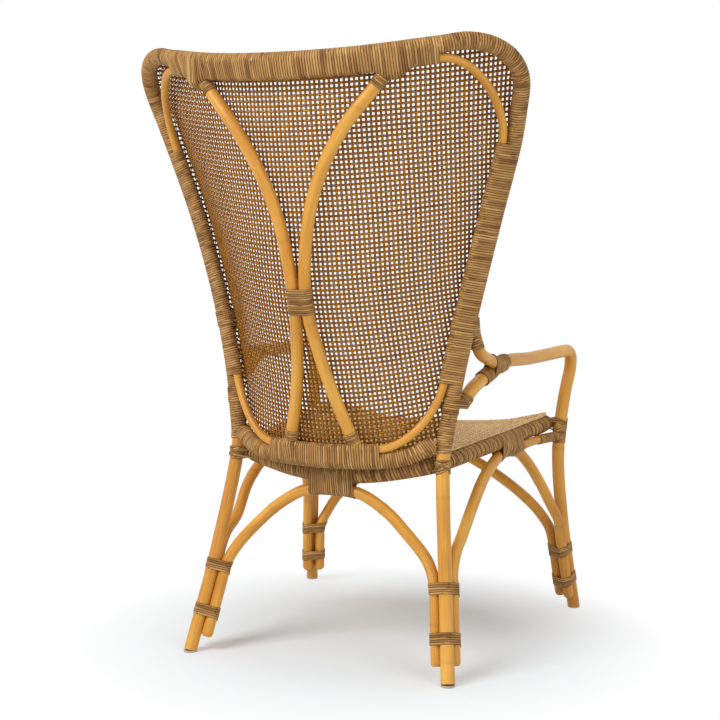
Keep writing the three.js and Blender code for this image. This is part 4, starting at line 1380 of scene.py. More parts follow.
    def _build_wraps(self) -> None:
        """Cane wound along the frame, doubled with the hoop where it runs beside it."""
        stock, count = self.stock, len(self.top_outline)
        core, girth = stock.under_wrap, stock.hoop_under_wrap
        ends = self.mark(-self.top_double), self.mark(self.top_double)
        tips = [side.place(self.brace_points[-1] + np.array([self.flare_shift, 0.0, 0.0])) for side in Side]
        run = self.pole.part(*ends)
        self.kit.wind("top_wrap", run, core, [(self.hoop, girth), self._ridge(run, tips, self.flare_half)],
                      self.strip_pitch)
        first, last = self.mark(self.top_double) - 1, self.mark(count + 7)
        doubled = np.arange(first, last + 1)
        doubled = (doubled >= self.mark(count + 1)) & (doubled <= self.mark(count + 5))
        for side in Side:
            self.kit.wind(f"side_wrap_{side.word}", self.pole.part(first, last).on(side), core,
                          [(self.hoop, np.where(doubled, girth, 0.0))], self.strip_pitch)
        free = [i for i, p in enumerate(self.rail.points)
                if np.linalg.norm(self.pole.points - p, axis=1).min() > stock.pole * self.clear_share]
        doubled = np.arange(free[0], free[-1] + 1)
        doubled = (doubled >= self.rail_mark(-self.rail_double)) & (doubled <= self.rail_mark(self.rail_double))
        run = self.rail.part(free[0], free[-1])
        foot = self.brace_points[0] + np.array([0.0, self.brace_bulge, -self.foot_drop])
        ridge, girths = self._ridge(run, [side.place(foot) for side in Side], self.foot_half)
        self.kit.wind("bottom_wrap", run, core, [(self.hoop, np.where(doubled, girth, 0.0)),
                                                 (ridge, np.where(doubled, girths, 0.0))], self.strip_pitch)

    def _ridge(self, run: Route, places: Sequence[Array], half: float) -> tuple[Route, Array]:
        """The hoop beside a wrap, swollen where brace ends are tucked in.

        Args:
            run: The wrapped line.
            places: Middles of the brace ends.
            half: Half the length of a swelling.

        Returns:
            The line, and its radius at each station of the run.
        """
        found = [self.hoop.crossing(place, way, self.hoop_reach) for place, way in zip(run.points, run.along)]
        line = np.array([hit[0] if hit else place for hit, place in zip(found, run.points)])
        girths = np.full(len(line), self.stock.hoop_under_wrap)
        for place in places:
            k = run.nearest(place)
            swell = ease(1 - np.abs((run.points - place) @ run.along[k]) / half)
            line = line + swell[:, None] * (place - line[k])
            girths = girths + swell * (self.stock.brace + self.stock.fit - girths)
        return Route(line), girths

    def _build_bindings(self) -> None:
        """Bindings of the braces: one round both where they meet, and one at each end."""
        middle = self.brace_points[len(self.brace_lower)]
        onto_middle = np.array([0.0, 1.0, 1.0])
        between = Route(self.brace.points * onto_middle).stretch(middle * onto_middle, length=50.0)
        braces = [(self.brace.on(side), self.stock.brace + self.stock.fit) for side in Side]
        self.kit.wind("brace_tie_binding", between, 0.0, braces, pitch=4.1, level=True, aim=(0, -1, 0))
        for side in Side:
            guide = self.sunk.on(side)
            high = self.brace_points[-2] + (self.brace_points[-1] - self.brace_points[-2]) * self.top_tie_share
            for end, place, length in (("foot", self.brace_points[1], self.foot_tie_length),
                                       ("top", high, self.top_tie_length)):
                self.kit.wind(f"brace_{end}_binding_{side.word}", guide.stretch(side.place(place), length),
                              self.stock.brace + self.stock.fit, level=True, aim=(0, -1, 0))


class BackSheet(Sheet):
    """The open weave of the back: upright columns, and rows that rise to both wings."""

    half_count: int = 57
    foot_clear: float = 26.0
    rail_end: int = 4
    first_guess: float = 0.85
    rounds: int = 8
    tuck_edge: float = 9.0
    tuck_run: float = 8.0
    tuck_depth: float = 6.0

    def __init__(self, back: Back) -> None:
        """Lays out the strands inside the frame.

        Args:
            back: The back that holds the sheet.
        """
        self.back = back
        self.columns = np.arange(-self.half_count, self.half_count + 1) * back.column_pitch
        self.rows = np.arange(back.bottom - back.row_bow, back.top + back.row_pitch, back.row_pitch)
        sides = back.left.points[:back.left.nearest(back.side_point(back.wrap_foot + self.foot_clear))]
        rail = back.rail.points[back.rail_mark(0):back.rail_mark(self.rail_end)][::-1]
        half = np.vstack([sides, rail])[:, [0, 2]]
        self.outline = np.vstack([half, (half * np.array([-1, 1]))[-2:0:-1]])[::2]

    def flat(self, across: Array, along: Array) -> Array:
        """Front-view places: columns keep their distance along the curved section.

        Args:
            across: Places over the columns.
            along: Places over the rows.

        Returns:
            The places.
        """
        across, along = np.broadcast_arrays(np.asarray(across, float), np.asarray(along, float))
        width = self.back.depth(self.back.half_widths, along)
        bow = self.back.depth(self.back.centre_depths, along) - self.back.depth(self.back.side_depths, along)
        k = 2 * bow / width ** 2
        x = across * self.first_guess
        for _ in range(self.rounds):
            slope = np.sqrt(1 + (k * x) ** 2)
            x = x - (x / 2 * slope + np.arcsinh(k * x) / (2 * k) - across) / slope
        return np.stack([x, along + self.back.row_bow * (x / width) ** 2], -1)

    def surface(self, places: Array, margins: Array) -> tuple[Array, Array]:
        """Points in front of the frame, tucked under the wraps at the outline.

        Args:
            places: Front-view places.
            margins: Their distances inside the outline.

        Returns:
            The points, and the way the sheet faces there.
        """
        facing = self.back.normal(places[:, 0], places[:, 1])
        ahead = self.back.weave_forward - self.tuck_depth * ease((self.tuck_edge - margins) / self.tuck_run)
        return self.back.on(places[:, 0], places[:, 1]) + facing * ahead[:, None], facing


@dataclass
class Seat:
    """The seat: a wrapped ring pole, a close weave over it and a braid along its edge."""

    kit: Workshop
    stock: Stock
    back: Back
    plan: tuple = ((85, -7), (155, -24), (202, -39), (219, -89), (237, -219), (252, -329), (262, -429), (271, -497),
                   (266, -539), (234, -562), (120, -570))
    rear_corner: int = 3
    front_corner: int = 9
    depth: float = 572.0
    ahead: float = 48.5
    below: float = 37.0
    rise: float = 25.0
    half_rear: float = 212.0
    half_front: float = 270.0
    sag_rear: float = 29.0
    sag_front: float = 18.0
    front_drop: float = 25.0
    front_lip: float = 75.0
    weave_raise: float = 9.0
    strip_pitch: float = 6.2
    starts: int = 3
    start_turn: float = 2.1
    strip_cover: float = 0.98
    weave_pitch: float = 7.6
    crown: float = 10.0
    braid_lean: float = 0.35
    braid_lift: float = 2.6

    @property
    def rear(self) -> float:
        """Depth of the ring's rear middle."""
        return self.back.rail_middle[1] - self.ahead

    def height(self, x: Array, y: Array) -> Array:
        """Height of the seat's surface.

        Args:
            x: Distances from the middle.
            y: Depths.

        Returns:
            The heights.
        """
        run = (self.rear - y) / self.depth
        across = np.maximum(0, 1 - (x / (self.half_rear + (self.half_front - self.half_rear) * run)) ** 2)
        lip = ease((self.front_lip - self.depth * (1 - run)) / self.front_lip)
        sag = self.sag_rear + (self.sag_front - self.sag_rear) * run
        level = self.back.rail_middle[2] - self.below + self.sag_rear + self.rise * run
        return level - across * (sag + self.front_drop * lip)

    @cached_property
    def half(self) -> list[Array]:
        """Chosen points of the ring from the rear's middle round the left to the front's middle."""
        places = [(0, 0), *self.plan, (0, -self.depth)]
        return [np.array([x, self.rear + y, self.height(x, self.rear + y)], float) for x, y in places]

    @cached_property
    def ring(self) -> Route:
        """The whole ring from the rear's middle round the left."""
        return Route.smooth(self.half + [p * FLIP for p in self.half[-2:0:-1]], closed=True)

    @cached_property
    def left(self) -> Route:
        """The left half of the ring."""
        front = self.ring.marks[len(self.half) - 1]
        return Route(self.ring.points[:front + 1])

    def hold(self, place: Pair) -> Array:
        """The ring's resting place nearest to a place in plan."""
        spot = np.array([*place, self.height(*place)])
        return self.ring.knots[np.argmin(np.linalg.norm(self.ring.knots - spot, axis=1))]

    def under(self, place: Pair, out: Pair, lean: float, radius: float) -> Array:
        """A place under the ring for a pole of that radius.

        Args:
            place: Where along the ring, in plan.
            out: The way out of the seat there.
            lean: Angle below the level, in degrees.
            radius: Radius of the pole.

        Returns:
            The pole's middle.
        """
        reach = self.stock.wrapped + radius + self.stock.lash_gap
        aside = reach * math.cos(math.radians(lean))
        return self.hold(place) + np.array([out[0] * aside, out[1] * aside, reach * math.sin(math.radians(lean))])

    def build(self) -> None:
        """Makes ring, wraps, weave and braid."""
        stock = self.stock
        self.kit.pole("seat_ring", self.ring, stock.pole)
        marks, count = self.ring.marks, len(self.ring.points)
        rear, front = marks[self.rear_corner], marks[self.front_corner]
        spans = {"rear": (-rear, rear), "left": (rear, front), "front": (front, count - front),
                 "right": (count - front, count - rear)}
        for name, (first, last) in spans.items():
            run = Route(self.ring.points[np.arange(first, last + 1) % count])
            for start in range(self.starts):
                turn = self.start_turn * start
                self.kit.wind(f"seat_wrap_{name}_{start + 1}", run, stock.under_wrap,
                              pitch=self.strip_pitch * self.starts, nodes=[f"seat_wrap_{name}"],
                              cover=self.strip_cover / self.starts, slack=1.4,
                              aim=(0, math.cos(turn), math.sin(turn)))
        SeatSheet(self).weave(self.kit, "seat_weave", Slot.SEAT, 2, {
            "Rise": 0.0011, "Width": 0.0072, "Thickness": 0.0022, "Sides": 6, "Bends": 2})
        self._build_braid()

    def _build_braid(self) -> None:
        """The braid that covers the weave's ends along the ring."""
        out = np.cross(self.ring.along, UP)
        middle = np.array([0, self.rear - self.depth / 2, 0])
        out = unit(out * np.where((out * (self.ring.points - middle)).sum(1) < 0, -1, 1)[:, None])
        facing = unit(UP - out * self.braid_lean)
        line = Route(self.ring.points + facing * (self.stock.wrapped + self.braid_lift), closed=True)
        piece = self.kit.braid.shape("seat_edge_braid", self.kit.thread(line, {"facing": facing}), {
            "Pitch": 0.028, "Spread": 0.0062, "Rise": 0.0020, "Width": 0.0066, "Thickness": 0.0038, "Steps": 16,
            "Sides": 6, "Material": self.kit.finishes[Slot.SEAT]})
        self.kit.keep(piece, Slot.SEAT)


class SeatSheet(Sheet):
    """The close weave of the seat, drawn over the ring."""

    half_width: float = 290.0
    length: float = 600.0
    behind: float = 10.0
    over_ring: float = 2.0
    edge: float = 26.0
    edge_run: float = 18.0
    crown_edge: float = 20.0
    crown_run: float = 70.0
    tuck_edge: float = 7.0
    tuck_run: float = 6.0
    tuck_depth: float = 5.0

    def __init__(self, seat: Seat) -> None:
        """Lays out the strands inside the ring.

        Args:
            seat: The seat that holds the sheet.
        """
        self.seat = seat
        count = math.ceil(self.half_width / seat.weave_pitch)
        self.columns = np.arange(-count, count + 1) * seat.weave_pitch
        steps = np.arange(0, math.ceil(self.length / seat.weave_pitch))[::-1]
        self.rows = seat.rear + self.behind - steps * seat.weave_pitch
        self.outline = seat.ring.points[::2, :2]

    def flat(self, across: Array, along: Array) -> Array:
        """Places in plan."""
        return np.stack(np.broadcast_arrays(np.asarray(across, float), np.asarray(along, float)), -1)

    def surface(self, places: Array, margins: Array) -> tuple[Array, Array]:
        """Points of the seat, raised over the ring at its edge.

        Args:
            places: Places in plan.
            margins: Their distances inside the ring.

        Returns:
            The points, and the way the sheet faces there.
        """
        seat = self.seat
        over = seat.stock.wrapped + self.over_ring - seat.weave_raise
        rise = seat.weave_raise + over * ease((self.edge - margins) / self.edge_run)
        rise = rise + seat.crown * ease((margins - self.crown_edge) / self.crown_run)
        tuck = np.clip((self.tuck_edge - margins) / self.tuck_run, 0, 1)
        z = seat.height(places[:, 0], places[:, 1]) + rise - self.tuck_depth * tuck
        return np.column_stack([places, z]), np.broadcast_to(UP, (len(places), 3)).copy()


@dataclass
class Arms:
    """Front posts that bend over as the arms, the elbows behind them and their bindings."""

    kit: Workshop
    stock: Stock
    back: Back
    seat: Seat
    foot: Pair = (329, -330)
    leg: tuple = ((310, -297, 0.346), (301, -288, 0.59), (304, -293, 0.728))
    height: float = 584.0
    rise: tuple = ((310, -306, 92), (317, -319, 38), (318, -316, 14), (317, -300, 2), (313, -266, 0))
    run: tuple = ((305, -200, 1), (292, -100, 2), (278, 40, 0), (270, 82, 16), (263, 122, 30), (259, 158, 43))
    end_drop: float = 68.0
    end_side: Pair = (0.4, -0.92)
    elbow_top: float = 100.0
    elbow_top_side: Pair = (-0.15, -0.99)
    elbow_hold: float = 66.0
    elbow_hold_side: Pair = (0.25, -0.97)
    elbow_sweep: tuple = ((277, 163, 32), (278, 128, 17), (280, 98, 8), (278, 66, -4))
    junction_rear: float = 114.0
    junction_front: float = 24.0
    elbow_stop: float = 70.0
    elbow_tail: tuple = ((279, 46, -7), (280, 18, -4))
    elbow_held: float = 90.0
    elbow_sleeve: float = 38.0
    end_sleeve: float = 22.0
    tie_slants: Pair = (0.5, 0.85)
    tie_core: float = 6.5
    tie_half: float = 4.6
    frapped: Pair = (0.2, 0.85)
    end_past: float = 9.0
    end_tie_drop: float = 4.0
    end_tie_length: float = 30.0
    elbow_tie_length: float = 28.0
    lash_height: float = 396.0

    def _beside(self, z: float, side: Pair, radius: float) -> Array:
        """A place beside the back's left side for a pole of that radius."""
        way = unit(np.array([*side, 0.0]))
        return self.back.side_point(z) + way * (self.stock.wrapped + radius + self.stock.lash_gap)

    @cached_property
    def post(self) -> Route:
        """The left post from its foot over the arm to the back."""
        ground = np.array([*self.foot, self.stock.glide])
        legs = [np.array([x, y, self.height * share]) for x, y, share in self.leg]
        arm = [np.array([x, y, self.height - drop]) for x, y, drop in (*self.rise, *self.run)]
        past = ground + unit(ground - legs[0]) * self.stock.pole
        end = self._beside(self.height - self.end_drop, self.end_side, self.stock.pole)
        whole = Route.smooth([past, ground, *legs, *arm, end])
        first = whole.marks[1]
        return Route(whole.points[first:], [m - first for m in whole.marks[1:]])

    @property
    def leg_down(self) -> Route:
        """The front leg from the arm's start down to the foot."""
        return Route(self.post.points[:self.post.marks[1 + len(self.leg) + 2] + 1][::-1])

    @cached_property
    def elbow(self) -> Route:
        """The left elbow from the back down to the arm."""
        holds = ((self.elbow_top, self.elbow_top_side), (self.elbow_hold, self.elbow_hold_side))
        top = [self._beside(self.height + rise, side, self.stock.elbow) for rise, side in holds]
        return Route.smooth(top + [np.array([x, y, self.height + rise]) for x, y, rise in self.elbow_sweep])

    def build(self) -> None:
        """Makes posts, elbows and their bindings."""
        for side in Side:
            self._build_poles(side)
            self._build_back_ties(side)
            self._build_seat_ties(side)

    def _build_poles(self, side: Side) -> None:
        """Post, elbow and the wrap that joins them.

        Args:
            side: Which half.
        """
        stock = self.stock
        self.kit.pole(f"front_leg_arm_{side.word}", self.post.on(side), stock.pole, spacing=0.3)
        elbow = self.elbow.points[self.elbow.points[:, 1] > self.elbow_stop]
        self.kit.pole(f"arm_elbow_{side.word}", Route(elbow).on(side), stock.elbow, spacing=0.33, rounding=0.6)
        start = self.post.marks[1 + len(self.leg) + 2]
        arm = self.post.points[start:]
        wrapped = Route(arm[(arm[:, 1] > self.junction_front) & (arm[:, 1] < self.junction_rear)]).on(side)
        tail = [(x, y, self.height + rise) for x, y, rise in self.elbow_tail]
        held = np.where(wrapped.points[:, 1] < self.elbow_held, stock.elbow + stock.fit, 0.0)
        self.kit.wind(f"arm_junction_wrap_{side.word}", wrapped, stock.under_wrap,
                      [(Route(np.vstack([self.elbow.points, tail])).on(side), held)], pitch=4.6)
        sleeve = Route(elbow[elbow[:, 2] > self.height + self.elbow_sleeve]).on(side)
        self.kit.wind(f"elbow_sleeve_{side.word}", sleeve, stock.elbow + stock.fit, pitch=4.4, nodes=())
        last = self.post.travelled > self.post.travelled[-1] - self.end_sleeve
        self.kit.wind(f"arm_end_sleeve_{side.word}", Route(self.post.points[last]).on(side), stock.pole + stock.fit,
                      pitch=4.4, nodes=())

    def _build_back_ties(self, side: Side) -> None:
        """Bindings that hold the arm's end and the elbow's top to the back.

        Args:
            side: Which half.
        """
        stock, guide = self.stock, self.back.left.on(side)
        hoop = self.back.hoop_half.on(side)
        past = self.post.points[-1] + self.post.along[-1] * self.end_past
        ties = (("arm_end", self.height - self.end_drop - self.end_tie_drop, self.end_tie_length, 0.0,
                 Route(np.vstack([self.post.points, past])), stock.pole),
                ("elbow_top", self.height + (self.elbow_top + self.elbow_hold) / 2, self.elbow_tie_length,
                 stock.hoop + stock.wrap, self.elbow, stock.elbow))
        for name, height, length, hoop_girth, pole, girth in ties:
            run = guide.stretch(side.place(self.back.side_point(height)), length)
            self.kit.wind(f"{name}_binding_{side.word}", run, stock.wrapped,
                          [(hoop, hoop_girth), (pole.on(side), girth + stock.fit)], pitch=4.4, level=True,
                          aim=side.place(np.array([-1.0, -0.4, 0.0])))

    def _build_seat_ties(self, side: Side) -> None:
        """Crossed loops that tie the seat ring to each leg, drawn tight by turns between the two.

        Args:
            side: Which half.
        """
        legs = (("rear", self.back.leg, self.seat.rear_corner), ("front", self.leg_down, self.seat.front_corner))
        for name, leg, number in legs:
            seat = self.seat.half[number]
            stand = leg.at_height(seat[2])
            ring = self.seat.left
            tilt = unit(np.cross(UP, (stand - seat) * np.array([1.0, 1.0, 0.0])))
            middle = (seat + stand) / 2
            mates = [(ring.on(side), self.tie_core), (leg.on(side), self.stock.pole + self.stock.fit)]
            node = f"{name}_seat_binding_{side.word}"
            for way, word in ((1, "turns"), (-1, "crossed")):
                slant = unit(UP + tilt * self.tie_slants[name == "front"] * way)
                line = Route(side.place(middle + slant * np.linspace(-self.tie_half, self.tie_half, 5)[:, None]))
                self.kit.wind(f"{node}_{word}", line, 0.0, mates, pitch=4.6, thickness=2.0, spread=60.0, nodes=[node],
                              cover=1.0)
            gap = Route(side.place(seat + (stand - seat) * np.linspace(*self.frapped, 7)[:, None]))
            self.kit.wind(f"{node}_frapping", gap, self.tie_core, nodes=[node])
            if name == "rear":
                run = leg.on(side).stretch(side.place(leg.at_height(self.lash_height)), length=17.0)
                girth = self.stock.pole + self.stock.fit
                self.kit.wind(f"{node}_band", run, girth, pitch=4.25, nodes=[node], level=True, aim=(0, -1, 0))
                for hand in (1, -1):
                    self.kit.wind(f"{node}_lash_{2 - (hand > 0)}", run, girth + self.stock.winding, pitch=34.0,
                                  nodes=[node], cover=0.13, hand=hand, aim=(0, 1, 0))


@dataclass
class Arches:
    """The four arches under the seat, the two side rails and the bindings of both."""

    kit: Workshop
    stock: Stock
    back: Back
    seat: Seat
    arms: Arms
    end_height: float = 30.0
    settle: float = 25.0
    rear_bend: float = 172.0
    rear_rise: tuple = ((207, 254, 0.257), (155, 248, 0.586), (118, 244, 0.777), (60, 243, 0.968))
    front_bend: float = 138.0
    front_rise: tuple = ((276, -313, 0.19), (250, -313, 0.364), (211, -316, 0.524), (148, -322, 0.714),
                         (79, -324, 0.883))
    side_rear_bend: float = 195.0
    side_front_bend: float = 205.0
    side_rear: tuple = ((253, 225, 0.18), (251, 185, 0.318), (255, 127, 0.632), (254, 70, 0.828), (252, 5, 0.945))
    side_front: tuple = ((255, -141, 0.955), (269, -171, 0.8), (285, -206, 0.538), (298, -243, 0.247))
    side_top: Pair = (252, -90)
    side_lean: float = -105.0
    end_lean: float = -90.0
    rail_lean: float = -55.0
    rail_plan: tuple = ((264, -200), (255, -115), (251, -75))
    rear_way: Pair = (-0.95, -0.3)
    front_way: Pair = (-0.93, 0.36)
    side_rear_way: Pair = (0.2, -1)
    side_front_way: Pair = (0, 1)
    rear_lashes: Pair = (82, 169)
    front_lashes: Pair = (69, 137)
    rail_stop: float = -95.0
    rail_wound: float = 92.0
    tie_length: float = 91.0
    tie_back: float = 10.0
    tail_back: float = 55.0

    def _along_leg(self, leg: Route, bend: float, way: Pair) -> list[Array]:
        """Places of an arch's end beside its leg, from the bend down.

        Args:
            leg: The leg.
            bend: Height of the bend.
            way: The way from the leg to the arch.

        Returns:
            The places.
        """
        aside = unit(np.array([*way, 0.0])) * (self.stock.pole + self.stock.arch + self.stock.lash_gap)
        heights = (bend, bend - self.settle, (bend + self.end_height) / 2, self.end_height)
        return [leg.at_height(z) + aside for z in heights]

    @staticmethod
    def _rising(points: tuple, bend: float, top: Array) -> list[Array]:
        """Places of an arch between its bend and its top."""
        return [np.array([x, y, bend + (top[2] - bend) * share]) for x, y, share in points]

    def _cross(self, leg: Route, bend: float, way: tuple, rise: tuple, top: Array) -> Route:
        """An arch from the right leg over its top to the left leg."""
        half = self._rising(rise, bend, top)[::-1] + self._along_leg(leg, bend, way)
        return Route.smooth([p * FLIP for p in half[::-1]] + [top] + half)

    @cached_property
    def rear(self) -> Route:
        """The rear arch."""
        top = self.seat.under((0, self.seat.rear), (0, 1), self.end_lean, self.stock.arch)
        return self._cross(self.back.leg, self.rear_bend, self.rear_way, self.rear_rise, top)

    @cached_property
    def front(self) -> Route:
        """The front arch."""
        top = self.seat.under((0, self.seat.rear - self.seat.depth), (0, -1), self.end_lean, self.stock.arch)
        return self._cross(self.arms.leg_down, self.front_bend, self.front_way, self.front_rise, top)

    @cached_property
    def flank(self) -> Route:
        """The left side arch."""
        top = self.seat.under(self.side_top, (1, 0), self.side_lean, self.stock.arch)
        points = self._along_leg(self.back.leg, self.side_rear_bend, self.side_rear_way)[::-1]
        points += self._rising(self.side_rear, self.side_rear_bend, top) + [top]
        points += self._rising(self.side_front, self.side_front_bend, top)
        points += self._along_leg(self.arms.leg_down, self.side_front_bend, self.side_front_way)
        return Route.smooth(points)

    @cached_property
    def rail(self) -> Route:
        """The left side rail from the front post back along the ring."""
        points = [self.seat.under(place, (1, 0), self.rail_lean, self.stock.rail) for place in self.rail_plan]
        return Route.smooth([self.arms.leg_down.at_height(points[0][2]), *points])

    def build(self) -> None:
        """Makes arches, rails and bindings."""
        self.kit.pole("rear_arch", self.rear, self.stock.arch, spacing=0.26, rounding=0.3)
        self.kit.pole("front_arch", self.front, self.stock.arch, spacing=0.26, rounding=0.3)
        for side in Side:
            self.kit.pole(f"side_arch_{side.word}", self.flank.on(side), self.stock.arch, spacing=0.24, rounding=0.3)
            bare = Route(self.rail.points[self.rail.points[:, 1] < self.rail_stop])
            self.kit.pole(f"seat_side_rail_{side.word}", bare.on(side), self.stock.rail, spacing=0.19)
            self._build_lashes(side)
        self._build_ties()

    def _build_lashes(self, side: Side) -> None:
        """Bindings that hold the arches' ends to the legs, and the rail to its post.

        Args:
            side: Which half.
        """
        girth = self.stock.arch + self.stock.fit
        rows = (("rear", self.back.leg, self.rear, self.rear_lashes),
                ("front", self.arms.leg_down, self.front, self.front_lashes))
        for row, leg, arch, heights in rows:
            for height, level in zip(heights, ("lower", "upper")):
                run = leg.on(side).stretch(side.place(leg.at_height(height)), length=23.0)
                self.kit.wind(f"{row}_leg_binding_{side.word}_{level}", run, self.stock.pole + self.stock.fit,
                              [(arch.on(side), girth), (self.flank.on(side), girth)], pitch=4.5, level=True,
                              aim=(0, -1 if row == "rear" else 1, 0))
        post, rail = self.arms.leg_down.on(side), self.rail.on(side)
        self.kit.wind(f"rail_post_binding_{side.word}", post.stretch(rail.points[0], length=30.0),
                      self.stock.pole + self.stock.fit, pitch=4.6, nodes=(), level=True, aim=(0, -1, 0))
        end = Route(rail.points[rail.travelled < self.rail_wound])
        self.kit.wind(f"rail_end_binding_{side.word}", end, self.stock.rail + self.stock.fit, pitch=4.4, nodes=())

    def _build_ties(self) -> None:
        """Bindings that hold each arch's top to the seat ring."""
        ring, stock, girth = self.seat.ring, self.stock, self.stock.arch + self.stock.fit
        count = len(ring.points)
        rear = Route(np.roll(ring.points, count // 2, 0))
        front = Route(ring.points)
        for name, guide, middle, arch in (("rear", rear, self.seat.half[0], self.rear),
                                          ("front", front, self.seat.half[-1], self.front)):
            self.kit.wind(f"{name}_arch_binding", guide.stretch(middle, self.tie_length), stock.wrapped,
                          [(arch, girth)], pitch=4.35)
        tie = self.seat.hold(self.side_top) + np.array([0.0, self.tie_back, 0.0])
        tail = self.seat.left.points[self.seat.left.nearest(tie + np.array([0.0, self.tail_back, 0.0]))]
        rail = Route(np.vstack([self.rail.points[self.rail.points[:, 1] < self.rail_stop], tail]))
        for side in Side:
            run = self.seat.left.on(side).stretch(side.place(tie), self.tie_length)
            mates = [(self.flank.on(side), girth), (rail.on(side), stock.rail + stock.fit)]
            self.kit.wind(f"side_arch_binding_{side.word}", run, stock.wrapped, mates, pitch=4.35)


@dataclass
class Glides:
    """Four moulded floor glides under the legs."""

    kit: Workshop
    stock: Stock
    feet: dict[str, Pair]
    rim: float = 1.5
    chamfer: float = 0.6
    sides: int = 36

    def build(self) -> None:
        """Makes the four glides."""
        top = self.stock.glide - self.stock.fit
        radius = self.stock.pole
        bend = np.linspace(0, math.pi / 2, 5)
        profile = [(radius - self.rim + self.rim * math.sin(t), self.rim - self.rim * math.cos(t)) for t in bend]
        profile += [(radius, top - self.chamfer), (radius - self.chamfer, top)]
        angles = np.arange(self.sides) * math.tau / self.sides
        for row, foot in self.feet.items():
            for side in Side:
                rings = [np.column_stack([r * np.cos(angles), r * np.sin(angles), np.full(self.sides, z)])
                         for r, z in profile]
                points = np.vstack(rings) + side.place(np.array([*foot, 0.0]))
                faces = [[k * self.sides + i, k * self.sides + (i + 1) % self.sides,
                          (k + 1) * self.sides + (i + 1) % self.sides, (k + 1) * self.sides + i]
                         for k in range(len(profile) - 1) for i in range(self.sides)]
                faces.append(list(range(self.sides))[::-1])
                faces.append([(len(profile) - 1) * self.sides + i for i in range(self.sides)])
                mesh = bpy.data.meshes.new("glide")
                mesh.from_pydata(self.kit.row(points).tolist(), [], faces)
                mesh.materials.append(self.kit.finishes[Slot.GLIDE])
                piece = bpy.data.objects.new(f"glide_{row}_{side.word}_disc", mesh)
                bpy.context.scene.collection.objects.link(piece)
                self.kit.keep(piece, Slot.GLIDE, [f"glide_{row}_{side.word}"])


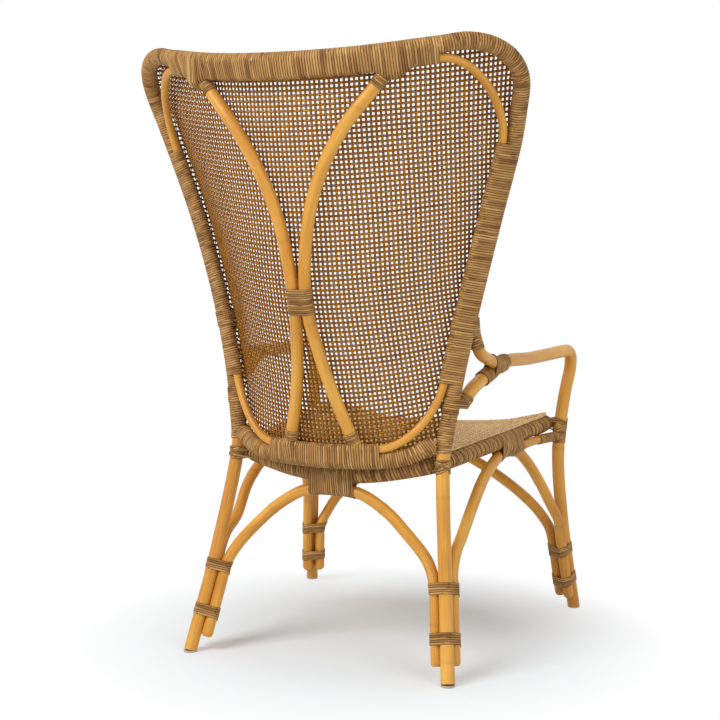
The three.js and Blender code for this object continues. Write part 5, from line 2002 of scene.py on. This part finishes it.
@dataclass
class Studio:
    """Pale floor, soft light and the camera."""

    camera_place: Triple = (-1.2593, 2.8274, 0.8724)
    azimuth: float = 204.39
    pitch: float = 5.38
    lens: float = 74.89
    floor_size: float = 14.0
    fade: Pair = (0.28, 0.62)
    ambient: float = 0.66
    aim_height: float = 0.5

    def build(self) -> None:
        """Sets up everything around the chair."""
        self._build_floor()
        self._build_world()
        self._build_lamp("key lamp", place=(1.6, 3.0, 3.4), size=2.0, power=118.0)
        self._build_lamp("fill lamp", place=(-3.2, 1.6, 2.2), size=2.2, power=26.0)
        self._build_camera()
        bpy.context.scene.view_settings.view_transform = "Standard"

    def _build_floor(self) -> None:
        """A pale floor that keeps the chair's shadow and fades to white far away."""
        half = self.floor_size / 2
        mesh = bpy.data.meshes.new("floor")
        mesh.from_pydata([(-half, -half, 0), (half, -half, 0), (half, half, 0), (-half, half, 0)], [], [(0, 1, 2, 3)])
        shade = Shade("pale floor")
        shade.feed("Base Color", (0.77, 0.81, 0.84, 1.0))
        shade.feed("Roughness", 0.9)
        shade.feed("Specular IOR Level", 0.0)
        place = shade.node("ShaderNodeTexCoord")["Object"]
        away = shade.node("ShaderNodeVectorMath", {"operation": "LENGTH"}, {0: place})["Value"]
        seen = self._seen(shade)
        white = shade.node("ShaderNodeEmission", None, {"Color": (1.0, 1.0, 1.0, 1.0), "Strength": 1.0})["Emission"]
        surface = Value(shade, shade.surface.outputs[0])
        mixed = shade.node("ShaderNodeMixShader", None,
                           {0: away.clamp(*self.fade) * seen, 1: surface, 2: white})["Shader"]
        shade.tree.links.new(mixed.socket, shade.tree.nodes["Material Output"].inputs["Surface"])
        mesh.materials.append(shade.material)
        floor = bpy.data.objects.new("floor", mesh)
        bpy.context.scene.collection.objects.link(floor)

    @staticmethod
    def _seen(graph: Graph) -> Value:
        """One where the camera looks, straight or by way of gloss."""
        path = graph.node("ShaderNodeLightPath")
        return (path["Is Camera Ray"] + path["Is Glossy Ray"] + path["Is Transmission Ray"]).clamp(0.0, 1.0)

    def _build_world(self) -> None:
        """Even studio light that the camera sees as white."""
        world = bpy.data.worlds.new("studio")
        world.use_nodes = True
        bpy.context.scene.world = world
        graph = Graph(world.node_tree)
        background = world.node_tree.nodes["Background"]
        background.inputs["Color"].default_value = (1.0, 1.0, 1.0, 1.0)
        strength = self.ambient + self._seen(graph) * (1.0 - self.ambient)
        world.node_tree.links.new(strength.socket, background.inputs["Strength"])

    def _build_lamp(self, name: str, place: Triple, size: float, power: float) -> None:
        """A large soft lamp aimed at the chair.

        Args:
            name: The lamp's name.
            place: Where it hangs, in metres.
            size: Side of its square face.
            power: Its power in watts.
        """
        data = bpy.data.lights.new(name, "AREA")
        data.energy = power
        data.size = size
        lamp = bpy.data.objects.new(name, data)
        lamp.location = place
        lamp.rotation_euler = (Vector((0, 0, self.aim_height)) - Vector(place)).to_track_quat("-Z", "Y").to_euler()
        bpy.context.scene.collection.objects.link(lamp)

    def _build_camera(self) -> None:
        """The camera of the photograph."""
        turn, tilt = math.radians(self.azimuth), math.radians(self.pitch)
        ahead = Vector((-math.sin(turn) * math.cos(tilt), math.cos(turn) * math.cos(tilt), -math.sin(tilt)))
        data = bpy.data.cameras.new("camera")
        data.sensor_width = 36.0
        data.lens = self.lens
        camera = bpy.data.objects.new("camera", data)
        camera.location = self.camera_place
        camera.rotation_euler = ahead.to_track_quat("-Z", "Y").to_euler()
        bpy.context.scene.collection.objects.link(camera)
        bpy.context.scene.camera = camera


class Chair:
    """The whole armchair in its studio."""

    def __init__(self) -> None:
        """Ties the sub-assemblies together."""
        stock = Stock()
        kit = Workshop(stock, Back.rear_foot)
        self.back = Back(kit, stock)
        self.seat = Seat(kit, stock, self.back)
        self.arms = Arms(kit, stock, self.back, self.seat)
        self.arches = Arches(kit, stock, self.back, self.seat, self.arms)
        self.glides = Glides(kit, stock, {"rear": self.back.rear_foot, "front": self.arms.foot})

    def build(self) -> None:
        """Makes all pieces."""
        for part in (self.back, self.seat, self.arms, self.arches, self.glides):
            part.build()


def main() -> None:
    """Builds the chair and the studio."""
    logging.basicConfig(level=logging.INFO, format="%(message)s")
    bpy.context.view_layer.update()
    Chair().build()
    Studio().build()


if __name__ == "__main__":
    main()
